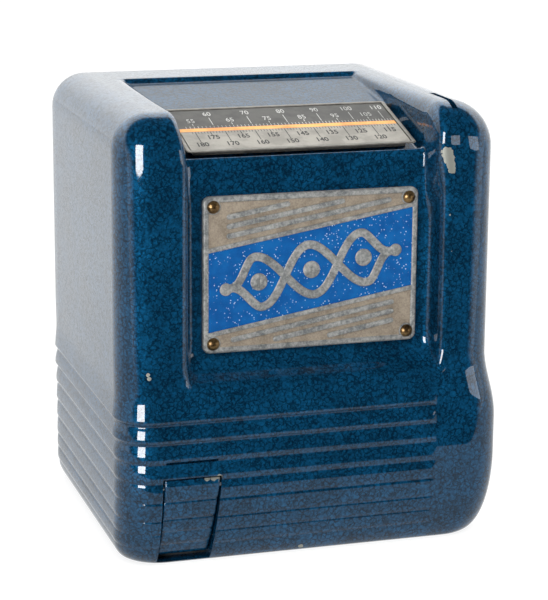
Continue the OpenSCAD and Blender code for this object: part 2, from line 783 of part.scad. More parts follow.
module reel_drum(x) {
  color("whitesmoke") difference() {
    union() {
      difference() {
        rod_x(x - reel_w / 2, reel_w, reel_d - 2 * strip_t, reel_axis);
        rod_x(x - reel_w / 2 + 1.4, reel_w, reel_d - 2 * strip_t - 2 * drum_t, reel_axis);
      }
      rod_x(x - hub_len / 2, hub_len, hub_d, reel_axis);
    }
    rod_x(x - hub_len, 2 * hub_len, reel_shaft_d + 2 * fit, reel_axis);
    for (a = [0 : 60 : 300])
      rod_x(x - reel_w, reel_w, 8, reel_axis + (reel_r / 2 + 1.5) * [cos(a), sin(a)]);
  }
}

module reel_strip(x) {
  color("ivory") difference() {
    rod_x(x - reel_w / 2, reel_w, reel_d, reel_axis);
    rod_x(x - reel_w, 2 * reel_w, reel_d - 2 * strip_t, reel_axis);
  }
}

module star_wheel(x) {
  color("silver") difference() {
    rod_x(x + star_off, star_t, 2 * star_r, reel_axis);
    rod_x(x, 2 * reel_w, hub_d, reel_axis);
    for (i = [0 : star_points - 1]) translate([0, reel_axis[0], reel_axis[1]])
      rotate([i * 360 / star_points, 0, 0]) rod_x(x, 2 * reel_w, 3.6, [star_r - 0.6, 0]);
  }
}

module stop_shaft() {
  color("silver") rod_x(-frame_out, 2 * frame_out, stop_d, stop_axis);
}

module stop_arm(x) {
  x0 = x + star_off;
  tip = reel_axis[0] + star_r + 0.5;
  color("darkgray") difference() {
    union() {
      rod_x(x0 - 3, star_t + 3.3, 8, stop_axis);
      yz(x0, star_t) polygon([
        stop_axis + [-3, 0], stop_axis + [3, 0], [stop_axis[0] + 2, reel_axis[1] + 3],
        [stop_axis[0] - 1, reel_axis[1] + 3], [tip, reel_axis[1] + 0.9],
        [tip, reel_axis[1] - 0.9], [stop_axis[0] - 1, reel_axis[1] - 3]
      ]);
    }
    rod_x(x0 - 4, star_t + 6, stop_d + 2 * fit, stop_axis);
  }
}

// Gears with involute teeth
function involute(a) = tan(a) * 180 / PI - a;
function gear_tooth(n, slack) =
  let (
    rp = gear_m * n / 2,
    rb = rp * cos(20),
    ra = rp + gear_m,
    rf = rp - 1.25 * gear_m,
    half = 90 / n - slack / rp * 90 / PI + involute(20),
    r0 = max(rb, rf),
    flank = [for (i = [0 : 4]) let (r = r0 + (ra - r0) * i / 4) [r, half - involute(acos(rb / r))]]
  ) concat(
    [[rf - 0.4, -half]],
    [for (f = flank) [f[0], -f[1]]],
    [for (i = [4 : -1 : 0]) flank[i]],
    [[rf - 0.4, half]]
  );

// Teeth from one angle to another, on a disc of the same span
module gear_2d(n, turn, from, to) {
  rf = gear_m * n / 2 - 1.25 * gear_m;
  rotate(turn) for (i = [from : to]) rotate(i * 360 / n)
    polygon([for (p = gear_tooth(n, 0.12)) p[0] * [cos(p[1]), sin(p[1])]]);
  if (to - from > n - 2) circle(r = rf);
  else {
    a0 = turn + (from - 0.6) * 360 / n;
    a1 = turn + (to + 0.6) * 360 / n;
    span = (a1 - a0) / 12;
    polygon(concat([[0, 0]], [for (i = [0 : 12]) rf * [cos(a0 + span * i), sin(a0 + span * i)]]));
  }
}

module drive_gear() {
  color("goldenrod") difference() {
    union() {
      yz(gear_x, gear_t) translate(lever_axis) gear_2d(drive_n, mesh_angle, 0, drive_n - 1);
      rod_x(gear_x - 2, gear_t + 4, 13, lever_axis);
    }
    rod_x(gear_x - 3, gear_t + 6, lever_d, lever_axis);
  }
}

module kicker_sector() {
  color("goldenrod") difference() {
    union() {
      yz(gear_x, gear_t) translate(kicker_axis)
        gear_2d(sector_n, mesh_angle + 180 + 180 / sector_n, -2, 5);
      rod_x(gear_x - 2, gear_t + 3, 11, kicker_axis);
    }
    rod_x(gear_x - 3, gear_t + 6, kicker_d, kicker_axis);
  }
}

module kicker_shaft() {
  color("silver") rod_x(-frame_out, frame_out + gear_x + gear_t + 1, kicker_d, kicker_axis);
}

// Three fingers that lean forward at rest, each below its star wheel
module kicker_fingers() {
  lean = 45;
  color("darkgray") difference() {
    union() {
      for (x = REELS) {
        rod_x(x + star_off - 4, star_t + 4.3, 9, kicker_axis);
        yz(x + star_off, star_t) translate(kicker_axis) rotate(90 + lean)
          polygon([[0, -3.6], [finger_r - 1, -1.6], [finger_r, 0], [finger_r - 1, 1.6], [0, 3.6]]);
      }
    }
    rod_x(-frame_x, 2 * frame_x, kicker_d, kicker_axis);
  }
}

module gum_pinion() {
  color("goldenrod") difference() {
    union() {
      yz(pinion_x, pinion_t) translate(lever_axis) gear_2d(pinion_n, 90, 0, pinion_n - 1);
      rod_x(pinion_x, pinion_t + 3, 13, lever_axis);
    }
    rod_x(pinion_x - 1, pinion_t + 6, lever_d, lever_axis);
  }
}

// Lever on the right side
module lever_shaft() {
  color("silver") {
    rod_x(pinion_x - 0.4, arm_x - pinion_x + 0.4, lever_d, lever_axis);
    rod_x(arm_x - 0.1, arm_t + 5, arm_hole_d, lever_axis);
  }
}

module lever_arm() {
  tip = lever_axis + [0, lever_len];
  color("silver") difference() {
    union() {
      rod_x(arm_x, arm_t, 17, lever_axis);
      rod_x(arm_x, arm_t, 9, tip);
      yz(arm_x, arm_t) polygon([
        lever_axis + [-7, 2], lever_axis + [7, 2], tip + [4, 0], tip + [-4, 0]
      ]);
    }
    rod_x(arm_x - 1, arm_t + 2, arm_hole_d, lever_axis);
    rod_x(arm_x - 1, arm_t + 2, knob_stud_d, tip);
  }
}

module lever_knob() {
  tip = lever_axis + [0, lever_len];
  color("black") {
    rod_x(arm_x, arm_t + 1, knob_stud_d, tip);
    rod_x(arm_x + arm_t, 2, 7, tip);
    translate([arm_x + arm_t + knob_d / 2 + 0.6, tip[0], tip[1]]) sphere(d = knob_d);
  }
}

module lever_nut() {
  color("silver") translate([arm_x + arm_t, lever_axis[0], lever_axis[1]]) rotate([0, 90, 0])
    difference() {
      union() {
        cylinder(d = 11, h = 4, $fn = 6);
        translate([0, 0, 2.4]) sphere(d = 8.6);
      }
      translate([0, 0, -4]) cylinder(d = 16, h = 4);
      translate([0, 0, -1]) cylinder(d = arm_hole_d, h = 5.9);
    }
}

module shaft_bush() {
  color("goldenrod") difference() {
    union() {
      rod_x(inner_x - 1.6, arm_x - inner_x + 1.1, lever_d + 5, lever_axis);
      rod_x(inner_x - 2.6, 2.6, lever_d + 9, lever_axis);
    }
    rod_x(inner_x - 4, 20, lever_d + 2 * fit, lever_axis);
  }
}

// Return spring: a torsion coil round the lever shaft, one leg on the gear side and one on the wall side
module return_spring() {
  wire = 1.1;
  coil_r = lever_d / 2 + 1.1;
  turns = 4;
  rings_a_turn = 12;
  sides = 6;
  pitch = 2;
  x0 = gear_x + gear_t + 2.8;
  count = turns * rings_a_turn;
  echo(spring_gap = pitch - wire);
  rings = [
    for (i = [0 : count])
      let (a = 360 * i / rings_a_turn, x = x0 + pitch * i / rings_a_turn)
        [for (k = [0 : sides - 1])
          let (b = 360 * k / sides, r = coil_r + wire / 2 * cos(b))
            [x + wire / 2 * sin(b), lever_axis[0] + r * cos(a), lever_axis[1] + r * sin(a)]]
  ];
  color("silver") loft(rings);
}

// Rear door with its knuckle, lock and drawer
module rear_door() {
  knuckle_z = KNUCKLES[0] + knuckle_len + gap;
  knuckle_h = KNUCKLES[1] - gap - knuckle_z;
  color(paint_blue) difference() {
    union() {
      block(hinge_x + 4, door_open + 3, door_y, door_y + door_t, door_z0, door_z1);
      block(hinge_x, hinge_x + 5, door_y + 0.3, door_y + door_t, knuckle_z,
        knuckle_z + knuckle_h);
      translate([hinge_x, hinge_y, knuckle_z]) cylinder(d = hinge_knuckle_d, h = knuckle_h);
    }
    translate([hinge_x, hinge_y, knuckle_z - 1]) cylinder(d = hinge_d + 2 * fit, h = knuckle_h + 2);
    rod_y(door_y - 1, door_t + 2, lock_d, lock_x, lock_z);
  }
}

module door_hinge_pin() {
  color("silver") translate([hinge_x, hinge_y, KNUCKLES[0] - 1])
    cylinder(d = hinge_d, h = KNUCKLES[1] - KNUCKLES[0] + knuckle_len + 2);
}

module lock_barrel() {
  face = door_y + door_t;
  color("silver") difference() {
    union() {
      rod_y(back - 6, face - back + 6, lock_d, lock_x, lock_z);
      rod_y(face, 2, lock_d + 4, lock_x, lock_z);
    }
    rod_y(back - 7, 20, plug_d + 2 * fit, lock_x, lock_z);
  }
}

module lock_nut() {
  color("silver") translate([lock_x, door_y, lock_z]) rotate([90, 0, 0]) difference() {
    cylinder(d = lock_d + 6, h = 2.5, $fn = 6);
    translate([0, 0, -1]) cylinder(d = lock_d, h = 5);
  }
}

module lock_plug() {
  face = door_y + door_t + 1.8;
  color("goldenrod") difference() {
    rod_y(back - 9, face - back + 9, plug_d, lock_x, lock_z);
    block(lock_x - 0.6, lock_x + 0.6, face - 5, face + 1, lock_z - 3, lock_z + 3);
  }
}

// Cam hangs down when the door is free, and turns out behind the rear wall to lock it
module lock_cam() {
  color("silver") difference() {
    union() {
      rod_y(back - 8.2, 2, lock_d, lock_x, lock_z);
      block(lock_x - 4, lock_x + 4, back - 8.2, back - 6.2, lock_z - 17, lock_z);
    }
    rod_y(back - 10, 6, plug_d, lock_x, lock_z);
  }
}

module cash_drawer() {
  color("gray") {
    difference() {
      block(drawer_x0, drawer_x1, drawer_y0, door_y + 0.1, base_t, base_t + drawer_h);
      block(drawer_x0 + sheet, drawer_x1 - sheet, drawer_y0 + sheet, back - sheet,
        base_t + sheet, base_t + drawer_h + 1);
    }
    block(drawer_x0 - 2.5, drawer_x1 + 2.5, door_y, door_y + door_t, base_t - 0.8, door_z0 - 1.5);
  }
}

module drawer_knob() {
  x = (drawer_x0 + drawer_x1) / 2;
  color("silver") translate([x, door_y + door_t, base_t + drawer_h / 2 + 1]) rotate([-90, 0, 0])
    rotate_extrude() polygon([
      [0, 0], [3, 0], [2.2, 3], [4.6, 5.4], [4.6, 7], [3, 8], [0, 8.2]
    ]);
}

casing();
base_plate();
base_screws();
nameplate();
nameplate_rivets();
dial_frame();
dial_scale();
dial_pivot_pins();
window_glass();
window_frame();
gum_flap();
flap_pin();
gum_chute();
gum_deck();
gum_shuttle();
gum_hopper();
coin_chute();
coin_rocker();
coin_rocker_pin();
frame_plate(-1);  // frame_plate_left
frame_plate(1);  // frame_plate_right
frame_screws();
tie_rods();
tie_rod_nuts();
reel_shaft();
reel_collars();
reel_drum(REELS[0]);  // reel_drum_left
reel_drum(REELS[1]);  // reel_drum_centre
reel_drum(REELS[2]);  // reel_drum_right
reel_strip(REELS[0]);  // reel_strip_left
reel_strip(REELS[1]);  // reel_strip_centre
reel_strip(REELS[2]);  // reel_strip_right
star_wheel(REELS[0]);  // star_wheel_left
star_wheel(REELS[1]);  // star_wheel_centre
star_wheel(REELS[2]);  // star_wheel_right
stop_shaft();
stop_arm(REELS[0]);  // stop_arm_left
stop_arm(REELS[1]);  // stop_arm_centre
stop_arm(REELS[2]);  // stop_arm_right
lever_shaft();
lever_arm();
lever_knob();
lever_nut();
shaft_bush();
return_spring();
drive_gear();
kicker_sector();
kicker_shaft();
kicker_fingers();
gum_pinion();
rear_door();
door_hinge_pin();
lock_barrel();
lock_nut();
lock_plug();
lock_cam();
cash_drawer();
drawer_knob();
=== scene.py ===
# %% [markdown]
# # A counter-top game in blue hammered paint
# The object is a small three-reel counter game: a cast casing in glossy blue hammered paint, a tuning-dial
# plate on its sloped top, a cast plate with a blue enamel band on its front, and works inside. The solids
# come packed as a frame that is already the right size, so this lesson dresses that frame. Each visible
# piece gets a finer mesh or a finish of its own, and rides on the body that carries it.

# %% Load the frame
import json
import math

import bmesh
import bpy
import numpy as np
from mathutils import Matrix, Vector


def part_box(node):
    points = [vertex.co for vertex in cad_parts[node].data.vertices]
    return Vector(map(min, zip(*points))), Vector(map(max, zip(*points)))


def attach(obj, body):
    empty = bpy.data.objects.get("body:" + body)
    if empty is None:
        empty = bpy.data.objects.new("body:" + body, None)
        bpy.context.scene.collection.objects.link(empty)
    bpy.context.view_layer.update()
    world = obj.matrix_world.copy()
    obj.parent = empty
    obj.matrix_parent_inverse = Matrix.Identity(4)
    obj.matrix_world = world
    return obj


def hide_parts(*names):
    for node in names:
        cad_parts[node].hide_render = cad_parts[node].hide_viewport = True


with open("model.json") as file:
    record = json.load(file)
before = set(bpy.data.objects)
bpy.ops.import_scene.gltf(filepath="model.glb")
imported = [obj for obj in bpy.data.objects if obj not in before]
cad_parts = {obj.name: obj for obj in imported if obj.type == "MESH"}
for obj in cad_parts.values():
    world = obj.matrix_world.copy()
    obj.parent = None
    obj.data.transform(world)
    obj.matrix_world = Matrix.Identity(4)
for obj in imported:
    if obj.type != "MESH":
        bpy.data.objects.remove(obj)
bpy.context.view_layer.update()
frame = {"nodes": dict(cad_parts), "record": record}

MM = 0.001

# %% [markdown]
# ## The camera
# The photograph was taken a little from the left and from above with a long lens. The angles and the place
# below were worked out from the casing's edges. A camera matrix is a turn to the side, a tilt and a small
# roll, in that order, and the lens follows from the focal length in pixels, since Blender fits its 36 mm
# sensor to the long side of the image.

# %% Camera
IMAGE_LONG_SIDE = 600
FOCAL_PIXELS = 2148.7
YAW, PITCH, ROLL = (math.radians(a) for a in (17.288, 13.792, 0.426))
EYE = Vector((-217.37, -711.58, 258.09)) * MM

camera = bpy.data.objects.new("camera", bpy.data.cameras.new("camera"))
camera.data.lens = camera.data.sensor_width * FOCAL_PIXELS / IMAGE_LONG_SIDE
camera.data.clip_start = 0.01
camera.matrix_world = (
    Matrix.Translation(EYE)
    @ Matrix.Rotation(-YAW, 4, "Z")
    @ Matrix.Rotation(math.pi / 2 - PITCH, 4, "X")
    @ Matrix.Rotation(ROLL, 4, "Z")
)
bpy.context.scene.collection.objects.link(camera)
bpy.context.scene.camera = camera
print("lens", round(camera.data.lens, 1), "mm")

# %% [markdown]
# ## Writing shaders as sums
# A finish is a tree of nodes, and most of its nodes are arithmetic. One small class stands for a socket, so
# that `1 - mask` or `height * 0.3` adds the Math node by itself. Every other node, such as a noise or a
# colour mix, goes through its method `node`, which sets a node's options first and its sockets after.

# %% The socket class
class Wire:
    """One output of a shader node. Arithmetic on it adds Math nodes, and node() adds any other node."""

    def __init__(self, tree, socket=None):
        self.tree = tree
        self.socket = socket

    def node(self, kind, settings=None, sockets=None, out=0):
        made = self.tree.nodes.new("ShaderNode" + kind)
        for name, value in (settings or {}).items():
            if name == "stops":
                ramp = made.color_ramp
                while len(ramp.elements) < len(value):
                    ramp.elements.new(1.0)
                for element, (position, colour) in zip(ramp.elements, value):
                    element.position, element.color = position, colour
            else:
                setattr(made, name, value)
        for name, value in (sockets or {}).items():
            if isinstance(value, Wire):
                self.tree.links.new(value.socket, made.inputs[name])
            else:
                made.inputs[name].default_value = value
        return Wire(self.tree, made.outputs[out] if made.outputs else None)

    def math(self, operation, a, b=0.0):
        return self.node("Math", {"operation": operation}, {0: a, 1: b})

    def __add__(self, other):
        return self.math("ADD", self, other)

    def __sub__(self, other):
        return self.math("SUBTRACT", self, other)

    def __rsub__(self, other):
        return self.math("SUBTRACT", other, self)

    def __mul__(self, other):
        return self.math("MULTIPLY", self, other)

    def __truediv__(self, other):
        return self.math("DIVIDE", self, other)

    __radd__ = __add__
    __rmul__ = __mul__

    def rise(self, low, high):
        """0 below low, 1 above high, smooth between."""
        return self.node("MapRange", {"interpolation_type": "SMOOTHSTEP"},
                         {"Value": self, "From Min": low, "From Max": high})

    def tint(self, at_zero, at_one):
        """A colour that goes from one to the other as this value goes from 0 to 1."""
        return self.node("Mix", {"data_type": "RGBA"}, {0: self, 6: at_zero, 7: at_one}, out=2)

    def axes(self):
        """The three parts of a vector."""
        split = self.node("SeparateXYZ", None, {"Vector": self}).socket.node
        return [Wire(self.tree, part) for part in split.outputs]


print("socket class ready")

# %% [markdown]
# ## Starting a finish
# Each finish is a function that takes a fresh tree and returns the sockets of one Principled shader. Its
# patterns are laid out in millimetres of the piece itself, through the Object coordinates, so they are at
# their real scale and turn with the piece when a joint moves. One function can serve several finishes, each
# under its own name and with its own values.

# %% Finish helpers
def shade(red, green, blue):
    """A colour read from a screen, 0 to 255, as the linear values that shaders work in."""
    parts = [v / 255 for v in (red, green, blue)]
    return tuple(((v + 0.055) / 1.055) ** 2.4 if v > 0.04045 else v / 12.92 for v in parts) + (1.0,)


def millimetres(paint):
    spot = paint.node("TexCoord", out="Object")
    return paint.node("VectorMath", {"operation": "SCALE"}, {0: spot, "Scale": 1 / MM})


def noise(paint, place, per_mm, detail=3.0, roughness=0.55, out=0):
    sockets = {"Vector": place, "Scale": per_mm, "Detail": detail, "Roughness": roughness}
    return paint.node("TexNoise", None, sockets, out)


def bump(paint, height, depth_mm, strength):
    return paint.node("Bump", None, {"Strength": strength, "Distance": depth_mm * MM, "Height": height})


FINISHES = {}


def finish(recipe, name=None, values=()):
    """Builds the material that a recipe function describes, under the function's own name or a given one."""
    name = name or recipe.__name__
    material = bpy.data.materials.new(name)
    material.use_nodes = True
    material.node_tree.nodes.clear()
    paint = Wire(material.node_tree)
    shader = paint.node("BsdfPrincipled", None, recipe(paint, *values))
    paint.node("OutputMaterial", None, {"Surface": shader})
    FINISHES[name] = material
    print("finish", name, "with", len(material.node_tree.nodes), "nodes")
    return recipe


# %% [markdown]
# ## The hammered paint
# Hammered paint dries into a mottled blue with a net of thin dark veins, under a skin as smooth as glass.
# Voronoi edges about two millimetres apart, pushed about by a noise so that none is straight and broken by
# another, give the veins. A finer noise gives the mottle. The coat on top stays smooth and only thins a
# little over veins and mottle, so reflections stay clean. A few chips show the bare casting: each is a place
# with a reach, roughened by noise. On the tray the coat is worn dull and a little dust lies on it.

# %% Hammered blue
CHIPS = [
    (45.6, -58.4, 136.2, 2.1), (46.2, -58.6, 134.4, 2.0), (46.9, -59.0, 132.4, 1.8), (47.5, -59.0, 130.6, 1.5),
    (47.1, -59.0, 115.3, 0.8), (48.2, -59.0, 102.9, 0.8), (-56.9, -58.6, 67.8, 0.7), (-56.3, -58.6, 66.5, 0.7),
    (-36.8, -58.4, 30.8, 1.0), (-34.6, -58.4, 30.9, 1.1), (-32.6, -58.3, 31.2, 1.2), (-2.5, -54.0, 2.0, 1.0),
    (-51.0, -57.2, 7.0, 0.7),
]
BARE_METAL, DUST, VEIN_BLUE = shade(146, 148, 141), shade(110, 112, 112), shade(3, 25, 40)
DARK_BLUE, LIGHT_BLUE = shade(4, 35, 56), shade(13, 77, 116)


def chipped(paint, place):
    """1 where the paint has chipped off, and 0 elsewhere."""
    rough_edge = noise(paint, place, 0.8, 4.0)
    nearest = None
    for *spot, reach in CHIPS:
        away = paint.node("VectorMath", {"operation": "DISTANCE"}, {0: place, 1: spot}, out="Value") / reach
        nearest = away if nearest is None else paint.math("MINIMUM", nearest, away)
    return 1 - (nearest + rough_edge * 1.2 - 0.6).rise(0.94, 1.0)


def tray_wear(place):
    """1 on the floor of the top tray, where things put down have dulled the skin, and 0 elsewhere."""
    x, y, z = place.axes()
    deep = y.rise(-12, -11) * (1 - y.rise(25.2, 26.4)) * (1 - z.rise(150.9, 151.5)) * z.rise(143, 144)
    return deep * x.rise(-44, -41) * (1 - x.rise(40, 43))


@finish
def hammered_blue(paint):
    place = millimetres(paint)
    wander = noise(paint, place, 0.6, out="Color")
    pushed = paint.node("VectorMath", {"operation": "MULTIPLY_ADD"}, {0: wander, 1: (2.4, 2.4, 2.4), 2: place})
    to_edge = paint.node("TexVoronoi", {"feature": "DISTANCE_TO_EDGE"}, {"Vector": pushed, "Scale": 0.52})
    gap = noise(paint, place, 0.35, 2.0).rise(0.28, 0.52)
    vein = (1 - to_edge.rise(0.0, 0.17)) * gap
    cloud = noise(paint, place, 0.07).rise(0.3, 0.7)
    mottle = noise(paint, place, 1.05, 3.0, 0.6).rise(0.3, 0.7)
    body = (mottle * 0.65 + cloud * 0.35).tint(DARK_BLUE, LIGHT_BLUE)
    chip = chipped(paint, place)
    rubbed = tray_wear(place)
    dusty = (rubbed * 0.25).tint((vein * 0.8).tint(body, VEIN_BLUE), DUST)
    height = (mottle * 0.4 + (1 - vein) * 0.6) * (1 - chip)
    return {
        "Base Color": chip.tint(dusty, BARE_METAL),
        "Roughness": 0.34 + mottle * 0.12 + chip * 0.1,
        "Metallic": 0.3 + chip * 0.3,
        "Specular IOR Level": 0.0,
        "Coat Weight": (1 - chip) * (1 - rubbed * 0.65) * (1 - vein * 0.12) * (0.93 + mottle * 0.07),
        "Coat Roughness": 0.02,
        "Normal": bump(paint, height, 0.14, 0.5),
    }


# %% [markdown]
# ## Meshes from numbers
# The cast shapes are smooth functions of height and place, so their meshes come straight from points and
# faces. One helper makes a mesh of them. Another makes the object, shades it smooth but keeps edges sharper
# than an angle, gives it its finish and lets it ride on its body.

# %% Piece helpers
WELD, SHARP = 0.001 * MM, math.radians(35)


def mesh_of(name, solid):
    """A welded mesh with its faces turned outward, from points in millimetres and faces."""
    points, faces = solid
    mesh = bpy.data.meshes.new(name)
    mesh.from_pydata([tuple(float(v) * MM for v in p) for p in points], [], faces)
    work = bmesh.new()
    work.from_mesh(mesh)
    bmesh.ops.remove_doubles(work, verts=work.verts, dist=WELD)
    bmesh.ops.recalc_face_normals(work, faces=work.faces)
    work.to_mesh(mesh)
    work.free()
    return mesh


def piece_of_mesh(name, mesh, body, materials, stands_for=()):
    mesh.shade_smooth()
    mesh.set_sharp_from_angle(angle=SHARP)
    made = bpy.data.objects.new(name, mesh)
    bpy.context.scene.collection.objects.link(made)
    mesh.materials.clear()
    for each in materials if isinstance(materials, list) else [materials]:
        mesh.materials.append(FINISHES[each])
    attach(made, body)
    if stands_for:
        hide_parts(*stands_for)
    print(name, "has", len(mesh.polygons), "faces and rides on", body)
    return made


def piece(name, solid, body, materials, stands_for=()):
    return piece_of_mesh(name, mesh_of(name, solid), body, materials, stands_for)


print("piece helpers ready")

# %% Ring helpers
def strips(count_rings, count_round, closed=False):
    """Quads between neighbouring rings of points, and from the last ring to the first if closed."""
    faces = []
    for i in range(count_rings if closed else count_rings - 1):
        a, b = i * count_round, (i + 1) % count_rings * count_round
        for j in range(count_round):
            k = (j + 1) % count_round
            faces.append((a + j, a + k, b + k, b + j))
    return faces


def loft(rings):
    """A closed solid through rings of points, with its two ends closed."""
    n = len(rings[0])
    ends = [tuple(range(n - 1, -1, -1)), tuple(range((len(rings) - 1) * n, len(rings) * n))]
    return [p for ring in rings for p in ring], strips(len(rings), n) + ends


def joined(solids):
    """Several solids in one mesh."""
    points, faces = [], []
    for some_points, some_faces in solids:
        faces += [tuple(i + len(points) for i in face) for face in some_faces]
        points += some_points
    return points, faces


def ease(t):
    """0 up to 0, 1 from 1 on, smooth between."""
    t = min(1.0, max(0.0, t))
    return t * t * (3 - 2 * t)


def middle(box):
    """Centre of a box, in millimetres."""
    return [(low + high) / 2 / MM for low, high in zip(*box)]


print("ring helpers ready")

# %% [markdown]
# ## The casing's outline
# The casing is one casting. Seen from above each level is a rectangle with round corners; going up, the
# foot tucks in, the right side swells into a pod, ribs overlap like boards, and the top edges round over.
# So a ring of points is made for each level, and the levels lie densest where the ribs turn.

# %% Casing outline
LIP_OUT, GROOVE_IN, DEPTH = 0.495, 0.55, 118
casing_low, casing_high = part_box("casing")
HALF_W = -casing_low.x / MM - LIP_OUT
FRONT = casing_low.y / MM + LIP_OUT
TOP = casing_high.z / MM
BACK = FRONT + DEPTH
EDGE_R, SLOT_EDGE_R, CORNER_R = 12, 16, 12.5
FRONT_X = middle(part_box("nameplate"))[0]
RIB_TOP, RIB_PITCH, RIB_COUNT, RIB_CURL = 50.7, 6.55, 8, 1.45
RIB_END = FRONT_X + 42
LIPS = [RIB_TOP - RIB_PITCH * i + max(0, i - 5) * RIB_CURL for i in range(RIB_COUNT)]
LEFT_FOOT, RIGHT_FOOT, FRONT_FOOT = (5.2, 9.5), (8.2, 30), (7.7, 29)
POD_OUT, POD_TOP, POD_RUN, CHEEK_IN, CHEEK_RUN = 3.9, 66, 24, 1.0, 18


def tuck(z, deep, high):
    """How far the foot tucks in: deep at the floor, nothing from a height on."""
    return 0 if z >= high else deep * (1 - math.sqrt(max(0, 1 - ((high - z) / high) ** 2)))


def pod(z):
    return POD_OUT * ease((POD_TOP - z) / POD_RUN)


def cheek_back(z):
    """How far the right cheek stands back above the pod."""
    return CHEEK_IN - ease((POD_TOP - z) / CHEEK_RUN)


def round_in(z, radius):
    t = max(0, z - TOP + radius)
    return radius - math.sqrt(max(0, radius * radius - t * t))


def level_frame(z):
    """Left, right, front and back of one level, and the radius of its corners."""
    edge = round_in(z, EDGE_R)
    left = -HALF_W + edge + tuck(z, *LEFT_FOOT)
    right = HALF_W - round_in(z, SLOT_EDGE_R) + pod(z) - tuck(z, *RIGHT_FOOT)
    return left, right, FRONT + edge + tuck(z, *FRONT_FOOT), BACK - edge, CORNER_R - edge


print("casing", round(2 * HALF_W, 1), "wide,", round(TOP, 1), "high, ribs at", [round(z, 1) for z in LIPS])

# %% [markdown]
# ## The recess for plate and dial
# A wide recess runs up the front, over the sloped bed of the dial and along the top tray. Its floor is one
# line in side view: a curved shelf, the wall behind the plate, a raised brow, the slope, a step, and a tray
# that rises to a lip at the back. At the cheeks that floor rises to the skin through a small hollow, a steep
# wall and a round edge. The left cheek, the right one and the right one near the top differ in their radii.

# %% Recess floor and cheeks
RECESS_DEEP, RECESS_LEFT, RECESS_RIGHT = 9.8, 39.9, 38.8
FLOOR_Y, WALL_FOOT = FRONT + RECESS_DEEP, 71.6
STEP_Y, STEP_RUN, STEP_SOFT = -11.71, 1.1, 16
TRAY_FOOT, TRAY_RISE, TRAY_BACK, LIP_RUN = TOP - 6.9, 5.4, 28.0, 2.4
BROW_RISE, BROW_RUN, BROW_FADE = 2.1, 1.7, 3.4
_, PIVOT_Y, PIVOT_Z = middle(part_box("dial_pivot_pins"))
SLOPE, BED_DROP, CHEEK_LEAN = math.radians(15.17), 2.3, math.radians(80)


def bed_z(y):
    """Height of the sloped bed below the dial."""
    return PIVOT_Z + math.tan(SLOPE) * (y - PIVOT_Y - BED_DROP * math.sin(SLOPE)) - BED_DROP * math.cos(SLOPE)


def bezier(points, t):
    points = [np.array(p, float) for p in points]
    while len(points) > 1:
        points = [a + (b - a) * t for a, b in zip(points, points[1:])]
    return points[0]


SHELF = [(FRONT, 60.4), (FRONT, 63.4), (FLOOR_Y, 65.4), (FLOOR_Y, WALL_FOOT)]
brow_z = bed_z(FLOOR_Y) + BROW_RISE
BROW = [(FLOOR_Y, brow_z - 2.4), (FLOOR_Y, brow_z + 0.15),
        (FLOOR_Y + BROW_RUN, bed_z(FLOOR_Y + BROW_RUN) + BROW_RISE)]


def tray_floor(y, soft):
    """Height of the recess floor along the top: brow, bed, a step that can be soft, rising tray, rear lip."""
    step = ease((y - STEP_Y) / (STEP_RUN + STEP_SOFT * soft) + 0.5)
    bed = bed_z(min(y, STEP_Y)) + BROW_RISE * (1 - ease((y - FLOOR_Y - BROW_RUN) / BROW_FADE))
    tray = TRAY_FOOT + TRAY_RISE * max(0, y - STEP_Y) / (TRAY_BACK - STEP_Y)
    low = bed * (1 - step) + tray * step
    return low + (TOP - low) * ease((y - TRAY_BACK + LIP_RUN) / LIP_RUN)


def cheek_profile(hollow, crown):
    """Pairs (distance from the recess's edge, share of the height) across one cheek."""
    c, s = math.cos(CHEEK_LEAN), math.sin(CHEEK_LEAN)
    straight = (RECESS_DEEP - (hollow + crown) * (1 - c)) / s
    angles = [CHEEK_LEAN * i / 5 for i in range(6)]
    pairs = [(hollow * math.sin(a), hollow * (1 - math.cos(a))) for a in angles]
    out, up = pairs[-1]
    pairs += [(out + straight * c * i / 3, up + straight * s * i / 3) for i in (1, 2, 3)]
    out, up = pairs[-1]
    angles = [CHEEK_LEAN * (1 - i / 9) for i in range(1, 10)]
    pairs += [(out + crown * (s - math.sin(a)), up + crown * (math.cos(a) - c)) for a in angles]
    return [(d, h / RECESS_DEEP) for d, h in pairs]


LEFT_CHEEK, CHEEK, HIGH_CHEEK = (cheek_profile(*radii) for radii in ((3.2, 3.8), (4.2, 4.2), (1.5, 4.6)))
print("cheek is", round(CHEEK[-1][0], 2), "mm across; bed edge at", [round(float(v), 1) for v in BROW[1]])

# %% [markdown]
# ## The casing's mesh
# Rings are stacked from the foot to the top, and a grid of the same columns and rows closes the top. Where
# a column lies inside the recess, its point slides from the skin to the floor line by the share that the
# cheek profile gives. Because skin and floor share their columns, no cut is needed for the recess. A level
# is a height, how far its rib lies in, and its place on the floor line where it has one. Ribs are listed
# from the foot up: the low ones are faint, and a thin notch keeps a line below each.

